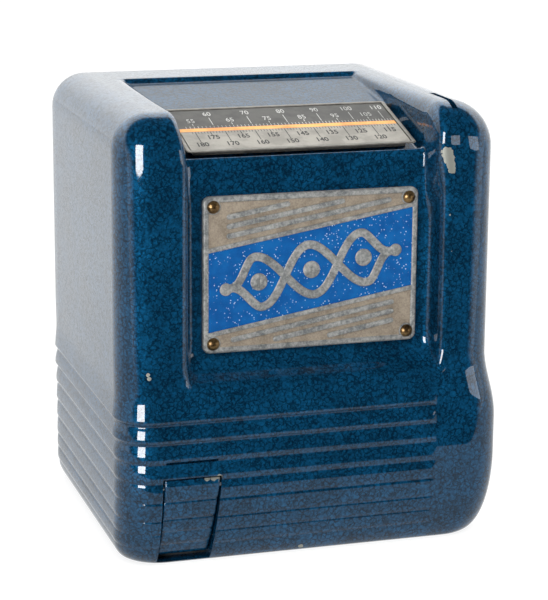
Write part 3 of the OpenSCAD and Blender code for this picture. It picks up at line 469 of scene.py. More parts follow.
# %% Levels of the skirt
FOOT_HEIGHTS = (0, 0.12, 0.45, 1.0, 1.8, 2.8, 3.9, 5.2)
RIB_SECTION = [(-1.15, 0.93), (-0.95, 1.0), (-0.7, 0.85), (-0.3, 0.3), (0.1, -0.3), (0.45, -0.75), (0.8, -1.0),
               (1.1, -0.98), (1.6, -0.9)]
RIB_STRENGTH = [0.18, 0.18, 0.2, 0.26, 0.35, 0.45, 1, 1]
FACE_STEPS, FACE_BEND, NOTCH_IN, NOTCH_BEND = (0.2, 0.4, 0.6, 0.78, 0.9), 1.7, 0.2, 30
SHOULDER_IN, SHOULDER_Z, SHOULDER_RUN = 0.17, 58.6, 13
(first_rise, first_share), (last_rise, last_share) = RIB_SECTION[0], RIB_SECTION[-1]
lips_up = LIPS[::-1]
levels = [(z, 0.0, None) for z in FOOT_HEIGHTS]
for i, (low, strength) in enumerate(zip(lips_up, RIB_STRENGTH)):
    notch = NOTCH_IN * (1 - strength)
    for rise, share in RIB_SECTION:
        deep = share * strength * (GROOVE_IN if share > 0 else LIP_OUT)
        levels.append((low + rise, deep + notch * max(0, share) ** 2, None))
    if low < RIB_TOP:
        above = RIB_STRENGTH[i + 1]
        start, end = low + last_rise, lips_up[i + 1] + first_rise
        from_lip, to_groove = last_share * LIP_OUT * strength, first_share * GROOVE_IN * above
        notch = NOTCH_IN * (1 - above) * first_share ** 2
        for t in FACE_STEPS:
            face = from_lip + (to_groove - from_lip) * t ** FACE_BEND
            levels.append((start + (end - start) * t, face + notch * t ** NOTCH_BEND, None))
levels += [(RIB_TOP + 3, -0.31, None), (RIB_TOP + 5.5, -0.07, None), (SHOULDER_Z, SHOULDER_IN, None)]
for y, z in (bezier(SHELF, i / 14) for i in range(15)):
    levels.append((float(z), SHOULDER_IN * (1 - ease((z - SHOULDER_Z) / SHOULDER_RUN)), (float(y), float(z))))
print(len(levels), "levels from the foot to the shelf")

# %% Levels of the wall and the top edge
SIDE_TOP, WALL_LEVELS = TOP - SLOT_EDGE_R, 16
skin_heights = [SIDE_TOP - (SIDE_TOP - WALL_FOOT) * (1 - i / 12) for i in range(1, 13)] + [TOP - 14]
skin_heights += [TOP - EDGE_R + EDGE_R * math.sin(math.radians(a)) for a in range(0, 91, 9)]
for i, z in enumerate(skin_heights, 1):
    if i <= WALL_LEVELS:
        spot = (FLOOR_Y, WALL_FOOT + (BROW[0][1] - WALL_FOOT) * i / WALL_LEVELS)
    else:
        spot = tuple(bezier(BROW, (i - WALL_LEVELS) / (len(skin_heights) - WALL_LEVELS)))
    levels.append((z, 0.0, spot))
print(len(levels), "levels in all")

# %% Casing columns
FLAT_STEPS, OUTER_STEPS, ARC = 15, 5, 10
RAIL_LEAN, RAIL_FOOT, RAIL_RUN = 1.6, 136, 14
HIGH_FOOT, HIGH_RUN = 126, 18


def columns(z):
    """Columns of the recess at one height, as (x, share of the skin).

    Near the top the left rail leans out and the right cheek takes its high profile.
    """
    left = RECESS_LEFT + RAIL_LEAN * ease((z - RAIL_FOOT) / RAIL_RUN)
    flat = [(-left + (left + RECESS_RIGHT) * i / FLAT_STEPS, 0.0) for i in range(1, FLAT_STEPS)]
    row = [(-d - left, s) for d, s in reversed(LEFT_CHEEK)] + flat
    high = ease((z - HIGH_FOOT) / HIGH_RUN)
    for (low_d, low_s), (high_d, high_s) in zip(CHEEK, HIGH_CHEEK):
        row.append((RECESS_RIGHT + low_d + (high_d - low_d) * high, low_s + (high_s - low_s) * high))
    return [(FRONT_X + x, s) for x, s in row]


def across(z):
    """Front columns of one level, as (x, share of the skin)."""
    left, right, _, _, r = level_frame(z)
    start, end = left + r, right - r
    recess = columns(z)
    first, last = recess[0][0], recess[-1][0]
    head = [(start + (first - start) * i / OUTER_STEPS, 1.0) for i in range(1, OUTER_STEPS)]
    tail = [(last + (end - last) * i / OUTER_STEPS, 1.0) for i in range(1, OUTER_STEPS)]
    return head + recess + tail


print(len(across(TOP)), "columns")

# %% Casing rows
ROW_FRONT, BED_RUN, TRAY_RUN = -46.5, 34.0, 34.8
bed_rows = [ROW_FRONT, -45.7, -44.9] + [ROW_FRONT + i * BED_RUN / 14 for i in range(1, 15)]
step_rows = [-12.3, -12.1, -11.9, -11.7, -11.5, -11.3, -11.1, -10.0]
tray_rows = [step_rows[-1] + i * TRAY_RUN / 9 for i in range(1, 10)]
lip_rows = [TRAY_BACK - LIP_RUN + i * LIP_RUN / 8 for i in range(8)]
rim_rows = [28.6, 31, 36, 41, -ROW_FRONT]
rows = bed_rows + step_rows + tray_rows + lip_rows + rim_rows
print(len(rows), "rows")

# %% Casing rings
RIB_LEAD, RIB_FADE, CHEEK_BLEND = 0.5, 1.3, 8
FLATTER, FLATTER_FOOT, FLATTER_RUN = 0.6, 26, 9


def casing_ring(z, rib, floor):
    """One level's points, anticlockwise from the left front corner, where the low ribs are flatter."""
    left, right, front, back, r = level_frame(z)
    ring = []

    def corner(cx, cy, start, amount):
        for i in range(ARC + 1):
            a = math.radians(start + 90 * i / ARC)
            reach = r - rib * amount(i / ARC)
            ring.append((cx + reach * math.cos(a), cy + reach * math.sin(a), z))

    front_columns = across(z)
    sides = [front + r + (back - front - 2 * r) * (y - rows[0]) / (rows[-1] - rows[0]) for y in rows[1:-1]]
    flatter = FLATTER * (1 - ease((z - FLATTER_FOOT) / FLATTER_RUN))
    corner(left + r, front + r, 180, lambda t: 1 - flatter * 4 * t * (1 - t))
    for x, s in front_columns:
        y = front + rib * (1 - ease((x - RIB_END + RIB_LEAD) / RIB_FADE))
        y += cheek_back(z) * ease((x - RIB_END) / CHEEK_BLEND)
        if floor:
            ring.append((x, floor[0] + (y - floor[0]) * s, floor[1] + (z - floor[1]) * s))
        else:
            ring.append((x, y, z))
    corner(right - r, front + r + cheek_back(z), 270, lambda t: 0)
    ring.extend((right, y, z) for y in sides)
    corner(right - r, back - r, 0, lambda t: 0)
    ring.extend((x, back, z) for x, _ in reversed(front_columns))
    corner(left + r, back - r, 90, lambda t: ease((t - 0.4) / 0.6))
    ring.extend((left + rib, y, z) for y in reversed(sides))
    return ring


rings = [casing_ring(*level) for level in levels]
ROUND = len(rings[0])
print(len(rings), "rings of", ROUND, "points")

# %% Casing skin and the grid of its top
SOFT_SHARE = 0.08
points = [p for ring in rings for p in ring]
faces = strips(len(rings), ROUND)
faces.append(tuple(range(ROUND - 1, -1, -1)))
top_ring, grid = (len(rings) - 1) * ROUND, len(points)
top_left, top_right, _, _, top_r = level_frame(TOP)
top_columns = [(top_left + top_r, 1.0)] + across(TOP) + [(top_right - top_r, 1.0)]
for y in rows:
    for x, s in top_columns:
        low = tray_floor(y, ease(s / SOFT_SHARE))
        points.append((x, y, low * (1 - s) + TOP * s if y < TRAY_BACK else TOP))
GRID_W, GRID_H = len(top_columns), len(rows)
for j in range(GRID_H - 1):
    for i in range(GRID_W - 1):
        a = grid + j * GRID_W + i
        faces.append((a, a + 1, a + 1 + GRID_W, a + GRID_W))
print("top of", GRID_W, "by", GRID_H, "points")

# %% [markdown]
# ## Sewing the top on
# The grid still lies loose in the top ring. Each of its four sides is sewn to the stretch of the ring beside
# it, and each round corner of the ring closes in a fan to the corner of the grid.

# %% Top sewn to the skin
grid_sides = [
    [grid + i for i in range(GRID_W)],
    [grid + j * GRID_W + GRID_W - 1 for j in range(GRID_H)],
    [grid + (GRID_H - 1) * GRID_W + i for i in reversed(range(GRID_W))],
    [grid + j * GRID_W for j in reversed(range(GRID_H))],
]
corner_starts = [0]
for inside in grid_sides[:-1]:
    corner_starts.append(corner_starts[-1] + ARC + len(inside) - 1)
for start, inside in zip(corner_starts, grid_sides):
    edge = [top_ring + (start + ARC + i) % ROUND for i in range(len(inside))]
    faces += [(edge[i], edge[i + 1], inside[i + 1], inside[i]) for i in range(len(edge) - 1)]
for start, inside in zip(corner_starts, grid_sides):
    faces += [(top_ring + start + i, top_ring + start + i + 1, inside[0]) for i in range(ARC)]
print("skin of", len(points), "points and", len(faces), "faces")

# %% [markdown]
# ## Openings of the casing
# The casting is hollow, and it has openings for the flap, the coin, the reel window, the lever shaft, the
# rear door and the drawer, and a dark seam below one rib above the flap. Each is a closed block that a
# Boolean takes away from the skin. The manifold solver is quick and keeps the smooth faces away from the
# cuts as they are.

# %% Block helpers
def prism(outline, axis, start, end):
    """A closed block: an outline in the two other axes, stretched along one axis."""
    def spot(u, v, w):
        return {"x": (w, u, v), "y": (u, w, v), "z": (u, v, w)}[axis]

    return loft([[spot(u, v, w) for u, v in outline] for w in (start, end)])


def block(axis, u0, u1, v0, v1, start, end):
    return prism([(u0, v0), (u1, v0), (u1, v1), (u0, v1)], axis, start, end)


def chamfered(x0, x1, y0, y1, cut):
    return [(x0 + cut, y0), (x1 - cut, y0), (x1, y0 + cut), (x1, y1 - cut), (x1 - cut, y1), (x0 + cut, y1),
            (x0, y1 - cut), (x0, y0 + cut)]


def circle(u, v, radius, steps):
    angles = np.linspace(0, 2 * math.pi, steps + 1)[:-1]
    return [(u + radius * math.cos(a), v + radius * math.sin(a)) for a in angles]


def cut_from(target, blocks):
    for i, solid in enumerate(blocks):
        cutter = bpy.data.objects.new("cutter", mesh_of("cutter", solid))
        bpy.context.scene.collection.objects.link(cutter)
        bool_cut = target.modifiers.new("cut", "BOOLEAN")
        bool_cut.operation, bool_cut.object, bool_cut.solver = "DIFFERENCE", cutter, "MANIFOLD"
        ready = target.evaluated_get(bpy.context.evaluated_depsgraph_get())
        cut_mesh = bpy.data.meshes.new_from_object(ready)
        target.modifiers.clear()
        target.data = cut_mesh
        bpy.data.objects.remove(cutter)
        print("  cut", i, "leaves", len(cut_mesh.polygons), "faces")


print("block helpers ready")

# %% Hollow and foot
INNER_X, WALL, INNER_CUT, OVER = 61.8, 2.8, 4.5, 1
TRAY_UNDER = TOP - 8
HOLLOW_FRONT = [
    (10.0, FRONT + 6.8), (18, FRONT + 4.3), (29, FRONT + 3.6), (55.5, FRONT + 3.6), (67.5, FLOOR_Y + WALL),
    (bed_z(FLOOR_Y) - 6, FLOOR_Y + WALL), (bed_z(-43) - WALL, -43), (bed_z(-13) - WALL, -13),
    (TRAY_UNDER, STEP_Y + 2),
]
hollow = loft([[(x, v, z) for x, v in chamfered(-INNER_X, INNER_X, y, BACK - WALL, INNER_CUT)]
               for z, y in HOLLOW_FRONT])
foot_hole = prism(chamfered(-57.05, 57.45, -47.5, 56.2, INNER_CUT), "z", -OVER, 12)
print("hollow up to", round(TRAY_UNDER, 1), "mm")

# %% Flap opening and seam
FLAP_LEFT, FLAP_RIGHT, FLAP_TOP, FLAP_FOOT = FRONT_X - 52.5, FRONT_X - 33.5, 31, 2.3
LEFT_SIDE_LEAN, RIGHT_SIDE_LEAN, FLAP_GAP, HOLE_FOOT = 1.1, 2.9, 0.6, 0.9


def flap_sides(z):
    """Left and right side of the flap. Both lean to the left towards the foot, the right one more."""
    down = (FLAP_TOP - z) / (FLAP_TOP - FLAP_FOOT)
    return FLAP_LEFT - LEFT_SIDE_LEAN * down, FLAP_RIGHT - RIGHT_SIDE_LEAN * down


hole_left, hole_right = flap_sides(HOLE_FOOT)
flap_hole = prism([(hole_left - FLAP_GAP, HOLE_FOOT), (hole_right + FLAP_GAP, HOLE_FOOT),
                   (FLAP_RIGHT + FLAP_GAP, FLAP_TOP + FLAP_GAP), (FLAP_LEFT - FLAP_GAP, FLAP_TOP + FLAP_GAP)],
                  "y", FRONT - 3, FRONT + 12.6)
SEAM_LIP = LIPS[2]
seam = block("y", FLAP_LEFT + 0.4, FLAP_LEFT + 18.2, SEAM_LIP - 1.05, SEAM_LIP - 0.1, FRONT - 2, FRONT + 1.6)
print("flap opening", round(hole_right - hole_left + 2 * FLAP_GAP, 1), "mm wide at its foot")

# %% Slot, window, lever, door and drawer
SLOT_X, SLOT_Y, SLOT_LEN, SLOT_HALF = HALF_W - 15.45, FRONT + 6, 21.5, 1.0
coin_slot = block("z", SLOT_X - SLOT_HALF, SLOT_X + SLOT_HALF, SLOT_Y, SLOT_Y + SLOT_LEN, 135, TOP + OVER)
WINDOW_FRONT, WINDOW_BACK, WINDOW_HALF = -38.5, -19.5, 33
window_hole = block("x", WINDOW_FRONT, WINDOW_BACK, 120, 160, FRONT_X - WINDOW_HALF, FRONT_X + WINDOW_HALF)
_, lever_y, lever_z = middle(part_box("shaft_bush"))
lever_hole = prism(circle(lever_y, lever_z, 6, 24), "x", INNER_X - 3, 80)
door_hole = block("y", -48, 48, 35, 135.8, BACK - WALL - OVER, BACK + OVER)
drawer_low, drawer_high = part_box("cash_drawer")
drawer_hole = block("y", drawer_low.x / MM - 0.5, drawer_high.x / MM + 0.5, 3, drawer_high.z / MM + 0.6,
                    BACK - WALL - 8, BACK + OVER)
openings = [hollow, foot_hole, flap_hole, seam, coin_slot, window_hole, lever_hole, door_hole, drawer_hole]
print(len(openings), "cutting blocks")

# %% The casing
CASING_SHARP = math.radians(38)
casing = piece("casing_shell", (points, faces), "cabinet", "hammered_blue", ["casing"])
cut_from(casing, openings)
casing.data.shade_smooth()
casing.data.set_sharp_from_angle(angle=CASING_SHARP)

# %% [markdown]
# ## Hinge knuckles
# Two knuckles cast on the back hold the pin of the rear door. Each is a short tube on an arm. A tube is a
# profile turned round an axis, and the same helper later makes the collars round the rivets.

# %% Hinge knuckles
def turned(profile, place, steps=28):
    """A solid turned from a closed profile of (radius, height)."""
    angles = [2 * math.pi * i / steps for i in range(steps)]
    rings = [[place(r * math.cos(a), r * math.sin(a), h) for a in angles] for r, h in profile]
    return [p for ring in rings for p in ring], strips(len(rings), steps, closed=True)


HINGE_X, HINGE_Y, _ = middle(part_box("door_hinge_pin"))
KNUCKLE_R, KNUCKLE_LONG, PIN_R, BREAK = 2.9, 14, 1.52, 0.3
knuckles = []
for z in (40, 110):
    end = z + KNUCKLE_LONG
    tube = [(PIN_R, z), (KNUCKLE_R - BREAK, z), (KNUCKLE_R, z + BREAK), (KNUCKLE_R, end - BREAK),
            (KNUCKLE_R - BREAK, end), (PIN_R, end)]
    knuckles.append(turned(tube, lambda a, b, h: (HINGE_X + a, HINGE_Y + b, h)))
    arm = chamfered(HINGE_X - 2.4, HINGE_X + 2, BACK - 1, HINGE_Y - PIN_R - 0.1, 0.2)
    knuckles.append(prism(arm, "z", z + 0.2, end - 0.2))
piece("hinge_knuckles", joined(knuckles), "cabinet", "hammered_blue")

# %% [markdown]
# ## The gum flap
# The flap carries on the ribs of the skirt, so its rows take the skin's own profile. It hangs a little inward
# at its foot. Every row is a thin ring with rounded sides, and the rows are lofted and then tilted.

# %% Gum flap
SKIRT_TOP = 58
rib_z, rib_in = zip(*sorted((z, rib) for z, rib, _ in levels if z < SKIRT_TOP))
FLAP_T, FLAP_THIN, FLAP_TILT, FLAP_AXIS = 1.8, 0.9, math.radians(6), (FRONT + 1.4, FLAP_TOP - 2.8)
SIDE_ROUND = [(0.0, 0.75), (0.08, 0.4), (0.25, 0.15), (0.55, 0.02), (1.0, 0.0)]


def tilted(x, y, z):
    dy, dz = y - FLAP_AXIS[0], z - FLAP_AXIS[1]
    c, s = math.cos(FLAP_TILT), math.sin(FLAP_TILT)
    return x, FLAP_AXIS[0] + dy * c - dz * s, FLAP_AXIS[1] + dz * c + dy * s


def fall(away, deep, run):
    """How far the face falls back at a distance from a rounded edge."""
    return deep * (1 - ease(away / run)) ** 2


def flap_row(z):
    edge = fall(FLAP_TOP - z, 0.75, 1.3) + fall(z - FLAP_FOOT, 0.8, 1.1)
    skin = FRONT + tuck(z, *FRONT_FOOT)
    y = skin + float(np.interp(z, rib_z, rib_in)) + edge
    x0, x1 = flap_sides(z)
    front_row = [(x0 + d, y + h) for d, h in SIDE_ROUND] + [(x0 + (x1 - x0) * t, y) for t in (0.3, 0.5, 0.7)]
    front_row += [(x1 - d, y + h) for d, h in reversed(SIDE_ROUND)]
    back = max(skin + FLAP_T, y + FLAP_THIN)
    return [tilted(x, v, z) for x, v in front_row + [(x1, back), (x0, back)]]


flap_heights = {FLAP_FOOT, FLAP_TOP} | {z for z in rib_z if FLAP_FOOT < z < FLAP_TOP}
flap_heights |= {FLAP_FOOT + d for d in (0.2, 0.45, 0.8, 1.1)} | {FLAP_TOP - d for d in (0.2, 0.45, 0.8, 1.2)}
flap_leaf = loft([flap_row(z) for z in sorted(flap_heights)])
hinge_rod = prism(circle(*FLAP_AXIS, 1.2, 16), "x", FLAP_LEFT + 0.8, FLAP_RIGHT - 0.8)
piece("gum_flap_leaf", joined([flap_leaf, hinge_rod]), "flap", "hammered_blue", ["gum_flap"])

# %% [markdown]
# ## Metals
# Most of the works are bare metal. What tells them apart is colour, gloss and grain: drawn rods are streaked
# along, sheet is clouded, brass is warm. One recipe takes those as values: two tones mixed by a stretched
# noise, a second noise for stains, and a fine bump. A table gives each metal its dark and light tone, the
# stretch of its grain, its gloss, its share of stain and how metallic it is.

# %% Metal finishes
def metal(paint, dark, light, stretch, gloss, stain, metallic):
    place = millimetres(paint)
    drawn = paint.node("VectorMath", {"operation": "MULTIPLY"}, {0: place, 1: stretch})
    grain = noise(paint, drawn, 0.9, 4.0, 0.65)
    cloud = noise(paint, place, 0.22, 4.0, 0.6)
    tone = (grain * (1 - stain) + cloud * stain).rise(0.32, 0.68)
    return {"Base Color": tone.tint(shade(*dark), shade(*light)), "Metallic": metallic - cloud * 0.12,
            "Roughness": gloss + cloud * 0.18 + grain * 0.06, "Normal": bump(paint, grain, 0.03, 0.4)}


METALS = {
    "steel": ((128, 130, 132), (188, 189, 190), (0.15, 2.5, 2.5), 0.2, 0.25, 0.9),
    "sheet_steel": ((140, 144, 146), (178, 182, 184), (0.5, 0.5, 0.5), 0.32, 0.6, 0.9),
    "dark_steel": ((38, 40, 43), (72, 74, 77), (0.6, 0.6, 0.6), 0.42, 0.6, 0.7),
    "gear_brass": ((146, 112, 58), (206, 172, 104), (1.2, 1.2, 1.2), 0.25, 0.5, 0.9),
    "rivet_brass": ((66, 48, 28), (158, 128, 84), (0.8, 0.8, 0.8), 0.22, 0.5, 0.9),
    "plate_metal": ((96, 100, 102), (168, 168, 164), (1.1, 1.1, 1.1), 0.4, 0.35, 0.4),
    "plate_field": ((118, 106, 92), (158, 146, 129), (1.6, 1.6, 1.6), 0.55, 0.5, 0.3),
    "dial_rim": ((93, 90, 84), (134, 131, 124), (0.5, 1.5, 1.5), 0.34, 0.5, 0.4),
}
for name, values in METALS.items():
    finish(metal, name, values)

# %% [markdown]
# ## Painted, pressed and clear finishes
# The rest are paints, a pressed fibre, a black knob and the glass. Each keeps a little unevenness in colour
# and gloss, because none of these surfaces is perfectly even after years on a counter. Their table gives a
# dark and a light tone, the gloss, and the scale and depth of the grain.

# %% Painted finishes
def coated(paint, dark, light, gloss, scale, depth=0.02):
    place = millimetres(paint)
    cloud = noise(paint, place, 0.12).rise(0.3, 0.7)
    grain = noise(paint, place, scale, 4.0, 0.6)
    tone = (cloud * 0.5 + grain * 0.5).rise(0.2, 0.8)
    return {"Base Color": tone.tint(shade(*dark), shade(*light)), "Roughness": gloss + grain * 0.15,
            "Normal": bump(paint, grain, depth, 0.4)}


COATS = {
    "fibre": ((92, 58, 38), (142, 96, 64), 0.55, 1.2, 0.05),
    "knob_black": ((14, 14, 15), (30, 30, 32), 0.14, 0.4, 0.01),
    "reel_white": ((206, 202, 190), (230, 227, 217), 0.4, 0.5),
    "dial_grey": ((50, 50, 48), (75, 74, 71), 0.5, 0.9),
    "dial_pale": ((128, 125, 117), (156, 152, 143), 0.5, 0.9),
    "dial_orange": ((226, 138, 44), (246, 172, 78), 0.4, 0.6),
    "white_ink": ((150, 150, 147), (200, 200, 196), 0.5, 1.4),
    # The black ink also serves as painted shade on the floor of the dial frame.
    "black_ink_and_painted_shade": ((14, 14, 13), (34, 33, 31), 0.5, 1.4),
}
for name, values in COATS.items():
    finish(coated, name, values)


@finish
def clear_glass(paint):
    made = coated(paint, (236, 242, 240), (250, 252, 251), 0.02, 0.05, 0.005)
    made["Roughness"] = noise(paint, millimetres(paint), 0.2) * 0.05
    return {**made, "Transmission Weight": 1.0, "IOR": 1.5}


# %% [markdown]
# ## The front plate
# The plate is a casting with a raised border, a sunk field and a band of blue enamel that runs up to the
# right. Raised shapes on it are all the same idea: a flat outline whose edges step in as they rise. So one
# helper insets an outline, and another lofts the inset rings into a solid.

# %% Raised shapes
def inset(outline, depth):
    """A convex outline, given anticlockwise, moved in by a depth."""
    points = np.array(outline, float)
    along = np.roll(points, -1, 0) - points
    along /= np.linalg.norm(along, axis=1)[:, None]
    inward = np.stack([-along[:, 1], along[:, 0]], 1)
    before = np.roll(inward, 1, 0)
    lean = 1 + (inward * before).sum(1)
    return points + depth * (inward + before) / lean[:, None]


def relief(outline, profile, place):
    """A closed solid: the outline at each (inset, height) of the profile."""
    return loft([[place(a, b, h) for a, b in inset(outline, d)] for d, h in profile])


def rounded(x0, x1, z0, z1, radius, steps=6):
    """Outline of a rectangle with round corners."""
    outline = []
    for cx, cz, start in ((x1 - radius, z0 + radius, -90), (x1 - radius, z1 - radius, 0),
                          (x0 + radius, z1 - radius, 90), (x0 + radius, z0 + radius, 180)):
        for i in range(steps + 1):
            a = math.radians(start + 90 * i / steps)
            outline.append((cx + radius * math.cos(a), cz + radius * math.sin(a)))
    return outline


def bar(start, end, half, steps=6):
    """Outline of a bar with round ends."""
    a0 = math.atan2(end[1] - start[1], end[0] - start[0])
    outline = []
    for (x, z), turn in ((end, -90), (start, 90)):
        for i in range(steps + 1):
            a = a0 + math.radians(turn + 180 * i / steps)
            outline.append((x + half * math.cos(a), z + half * math.sin(a)))
    return outline


print("raised shapes ready")

# %% Plate body
plate_low, plate_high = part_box("nameplate")
PLATE = [v / MM for v in (plate_low.x, plate_high.x, plate_low.z, plate_high.z)]
PLATE_R, BORDER, FIELD_H, CREST_H = 2.4, 1.95, 1.4, 1.9


def on_plate(x, z, h):
    return x, FLOOR_Y - h, z


border = [(0.15, 0), (0, 0.2), (0, 1.35), (0.2, 1.7), (0.55, CREST_H), (1.45, CREST_H), (1.75, 1.75),
          (BORDER, FIELD_H)]
plate = piece("nameplate_body", relief(rounded(*PLATE, PLATE_R), border, on_plate), "cabinet",
              ["plate_metal", "plate_field"], ["nameplate"])
field = max(plate.data.polygons, key=lambda face: -face.center.y if len(face.vertices) > 4 else -1)
field.material_index = 1

# %% [markdown]
# ## The enamel band
# The band is glass fused on to the plate, so it is even in colour and very glossy, with pale specks where it
# has worn. The specks come from small Voronoi cells, kept only where a wider noise allows them, and a
# stretched noise adds a few scratches.

# %% Enamel
@finish
def band_enamel(paint):
    place = millimetres(paint)
    dots = paint.node("TexVoronoi", None, {"Vector": place, "Scale": 0.95})
    patchy = noise(paint, place, 0.3)
    speck = (1 - dots.rise(0.12, 0.26)) * patchy.rise(0.42, 0.54)
    long_way = paint.node("VectorMath", {"operation": "MULTIPLY"}, {0: place, 1: (1.6, 1.0, 0.35)})
    scratch = noise(paint, long_way, 0.7, 5.0, 0.7).rise(0.66, 0.72)
    worn = paint.math("MAXIMUM", speck * 0.85, scratch * 0.5)
    cloud = noise(paint, place, 0.2)
    blue = cloud.rise(0.3, 0.7).tint(shade(0, 74, 140), shade(2, 92, 160))
    return {"Base Color": worn.tint(blue, shade(176, 202, 226)), "Roughness": 0.2 + worn * 0.3 + cloud * 0.05,
            "Normal": bump(paint, cloud - worn * 0.4, 0.03, 0.5)}


FIELD_X0, FIELD_X1 = PLATE[0] + BORDER - 0.2, PLATE[1] - BORDER + 0.2
RISE, BAND_TOP, BAND_FOOT, SUNK = math.tan(math.radians(9.55)), 111.86, 83.33, 1.2


def upper_line(x):
    return BAND_TOP + RISE * x


def lower_line(x):
    return BAND_FOOT + RISE * x


band = [(FIELD_X0, lower_line(FIELD_X0)), (FIELD_X1, lower_line(FIELD_X1)), (FIELD_X1, upper_line(FIELD_X1)),
        (FIELD_X0, upper_line(FIELD_X0))]
piece("plate_band", relief(band, [(0, SUNK), (0, 1.48), (0.05, 1.52)], on_plate), "cabinet", "band_enamel")

# %% [markdown]
# ## Raised metal on the plate
# Raised lines edge the band, collars stand round the rivets, and plain ornament fills the band and the two
# wedges: two waves that cross like a plait with a stud in each loop, and bars that run with the slope. The
# waves are ribbons of one section swept along a curve.

# %% Plate lines and collars
STEP = [(0, SUNK), (0, CREST_H - 0.12), (0.12, CREST_H - 0.03), (0.3, CREST_H)]
COLLAR = [(1.2, SUNK), (2.55, SUNK), (2.55, 1.75), (2.35, 2.0), (1.95, 2.05), (1.75, 1.9), (1.7, 1.5),
          (1.2, 1.45)]
RIVET_OUT, RIVET_HEIGHTS = 33.95, (74.6, 120.7)
raised = [relief(bar((FIELD_X0 + 0.1, line(FIELD_X0)), (FIELD_X1 - 0.1, line(FIELD_X1)), 0.75), STEP, on_plate)
          for line in (upper_line, lower_line)]
for rivet_x in (FRONT_X - RIVET_OUT, FRONT_X + RIVET_OUT):
    for rivet_z in RIVET_HEIGHTS:
        raised.append(turned(COLLAR, lambda a, b, h, x=rivet_x, z=rivet_z: on_plate(x + a, z + b, h)))
print(len(raised), "lines and collars")

# %% Plait and studs
MID_X, MID_Z = FRONT_X, (upper_line(FRONT_X) + lower_line(FRONT_X)) / 2
LOOP, SWING, PLAIT_HALF, PLAIT_FADE, PLAIT_STEPS = 18.5, 8.6, 30.0, 11, 140
STROKE, STROKE_FOOT, STROKE_EDGE, STROKE_FALL = 1.4, 1.3, 0.25, 0.2
STUD = [(0, STROKE_FOOT), (0, 1.8), (0.25, 2.0), (1.0, 2.1)]


def ribbon(path, section, place):
    """A section of (across, height) swept along a path."""
    path = np.array(path, float)
    along = np.gradient(path, axis=0)
    along /= np.linalg.norm(along, axis=1)[:, None]
    side = np.stack([-along[:, 1], along[:, 0]], 1)
    return loft([[place(*(p + n * a), h) for a, h in section] for p, n in zip(path, side)])


def on_band(a, b):
    c, s = math.cos(math.atan(RISE)), math.sin(math.atan(RISE))
    return MID_X + a * c - b * s, MID_Z + a * s + b * c


for turn, crest in ((1, 2.0), (-1, 1.93)):
    wave = []
    for i in range(PLAIT_STEPS + 1):
        a = -PLAIT_HALF + 2 * PLAIT_HALF * i / PLAIT_STEPS
        swing = turn * SWING * math.cos(math.pi * a / LOOP) * ease((PLAIT_HALF - abs(a)) / PLAIT_FADE)
        wave.append(on_band(a, swing))
    section = [(-STROKE, STROKE_FOOT), (STROKE, STROKE_FOOT), (STROKE, crest - STROKE_FALL),
               (STROKE - STROKE_EDGE, crest), (STROKE_EDGE - STROKE, crest), (-STROKE, crest - STROKE_FALL)]
    raised.append(ribbon(wave, section, on_plate))
for a, reach in ((-PLAIT_HALF, 2.1), (-LOOP, 2.9), (0, 2.9), (LOOP, 2.9), (PLAIT_HALF, 2.1)):
    x, z = on_band(a, 0)
    raised.append(relief(bar((x - 0.01, z), (x + 0.01, z), reach, 12), STUD, on_plate))
print(len(raised), "raised shapes with the plait")

# %% Bars in the wedges
WEDGE_WIDE, WEDGE_TIP, WEDGE_GAP, BAR_HALF = 28.5, 27, 1.6, 0.85
WEDGE_TOP, WEDGE_FOOT = PLATE[3] - BORDER - WEDGE_GAP, PLATE[2] + BORDER + WEDGE_GAP
for offset in (3.4, 6.6, 9.8):
    far = min((WEDGE_TOP - offset - upper_line(0)) / RISE, FRONT_X + WEDGE_TIP)
    near = max((WEDGE_FOOT + offset - lower_line(0)) / RISE, FRONT_X - WEDGE_TIP)
    for line, x0, x1, up in ((upper_line, FRONT_X - WEDGE_WIDE, far, offset),
                             (lower_line, near, FRONT_X + WEDGE_WIDE, -offset)):
        raised.append(relief(bar((x0, line(x0) + up), (x1, line(x1) + up), BAR_HALF), STEP, on_plate))
piece("plate_relief", joined(raised), "cabinet", "plate_metal")

# %% [markdown]
# ## The dial
# The dial is a pressed frame with a printed scale in it. It lies on a slope, so its pieces are laid out flat,
# in millimetres across and up the slope, and one function lifts them on to the slope. Its edge is a thin lip
# on a smaller pan, which is why a dark line shows below its front. The floor of the frame, between the lip
# and the fields, is painted black as shade: it stands for the shadow in the groove round the fields.

# %% Dial frame
DIAL_LEFT, DIAL_RIGHT, DIAL_FOOT, DIAL_HEAD, DIAL_R = -41.4, 38.2, -33.2, 1.5, 1.5
FACE_V, LIP_V, UNDER_V, PAN_V, PAN_IN, PAN_R, RIM_IN = 1.12, 1.3, 0.7, -1.3, 2.8, 0.5, 1.75
FLOOR_V, FACING_UP = 0.9, 0.9


def on_slope(x, u, v):
    return (FRONT_X + x, PIVOT_Y + u * math.cos(SLOPE) - v * math.sin(SLOPE),
            PIVOT_Z + u * math.sin(SLOPE) + v * math.cos(SLOPE))


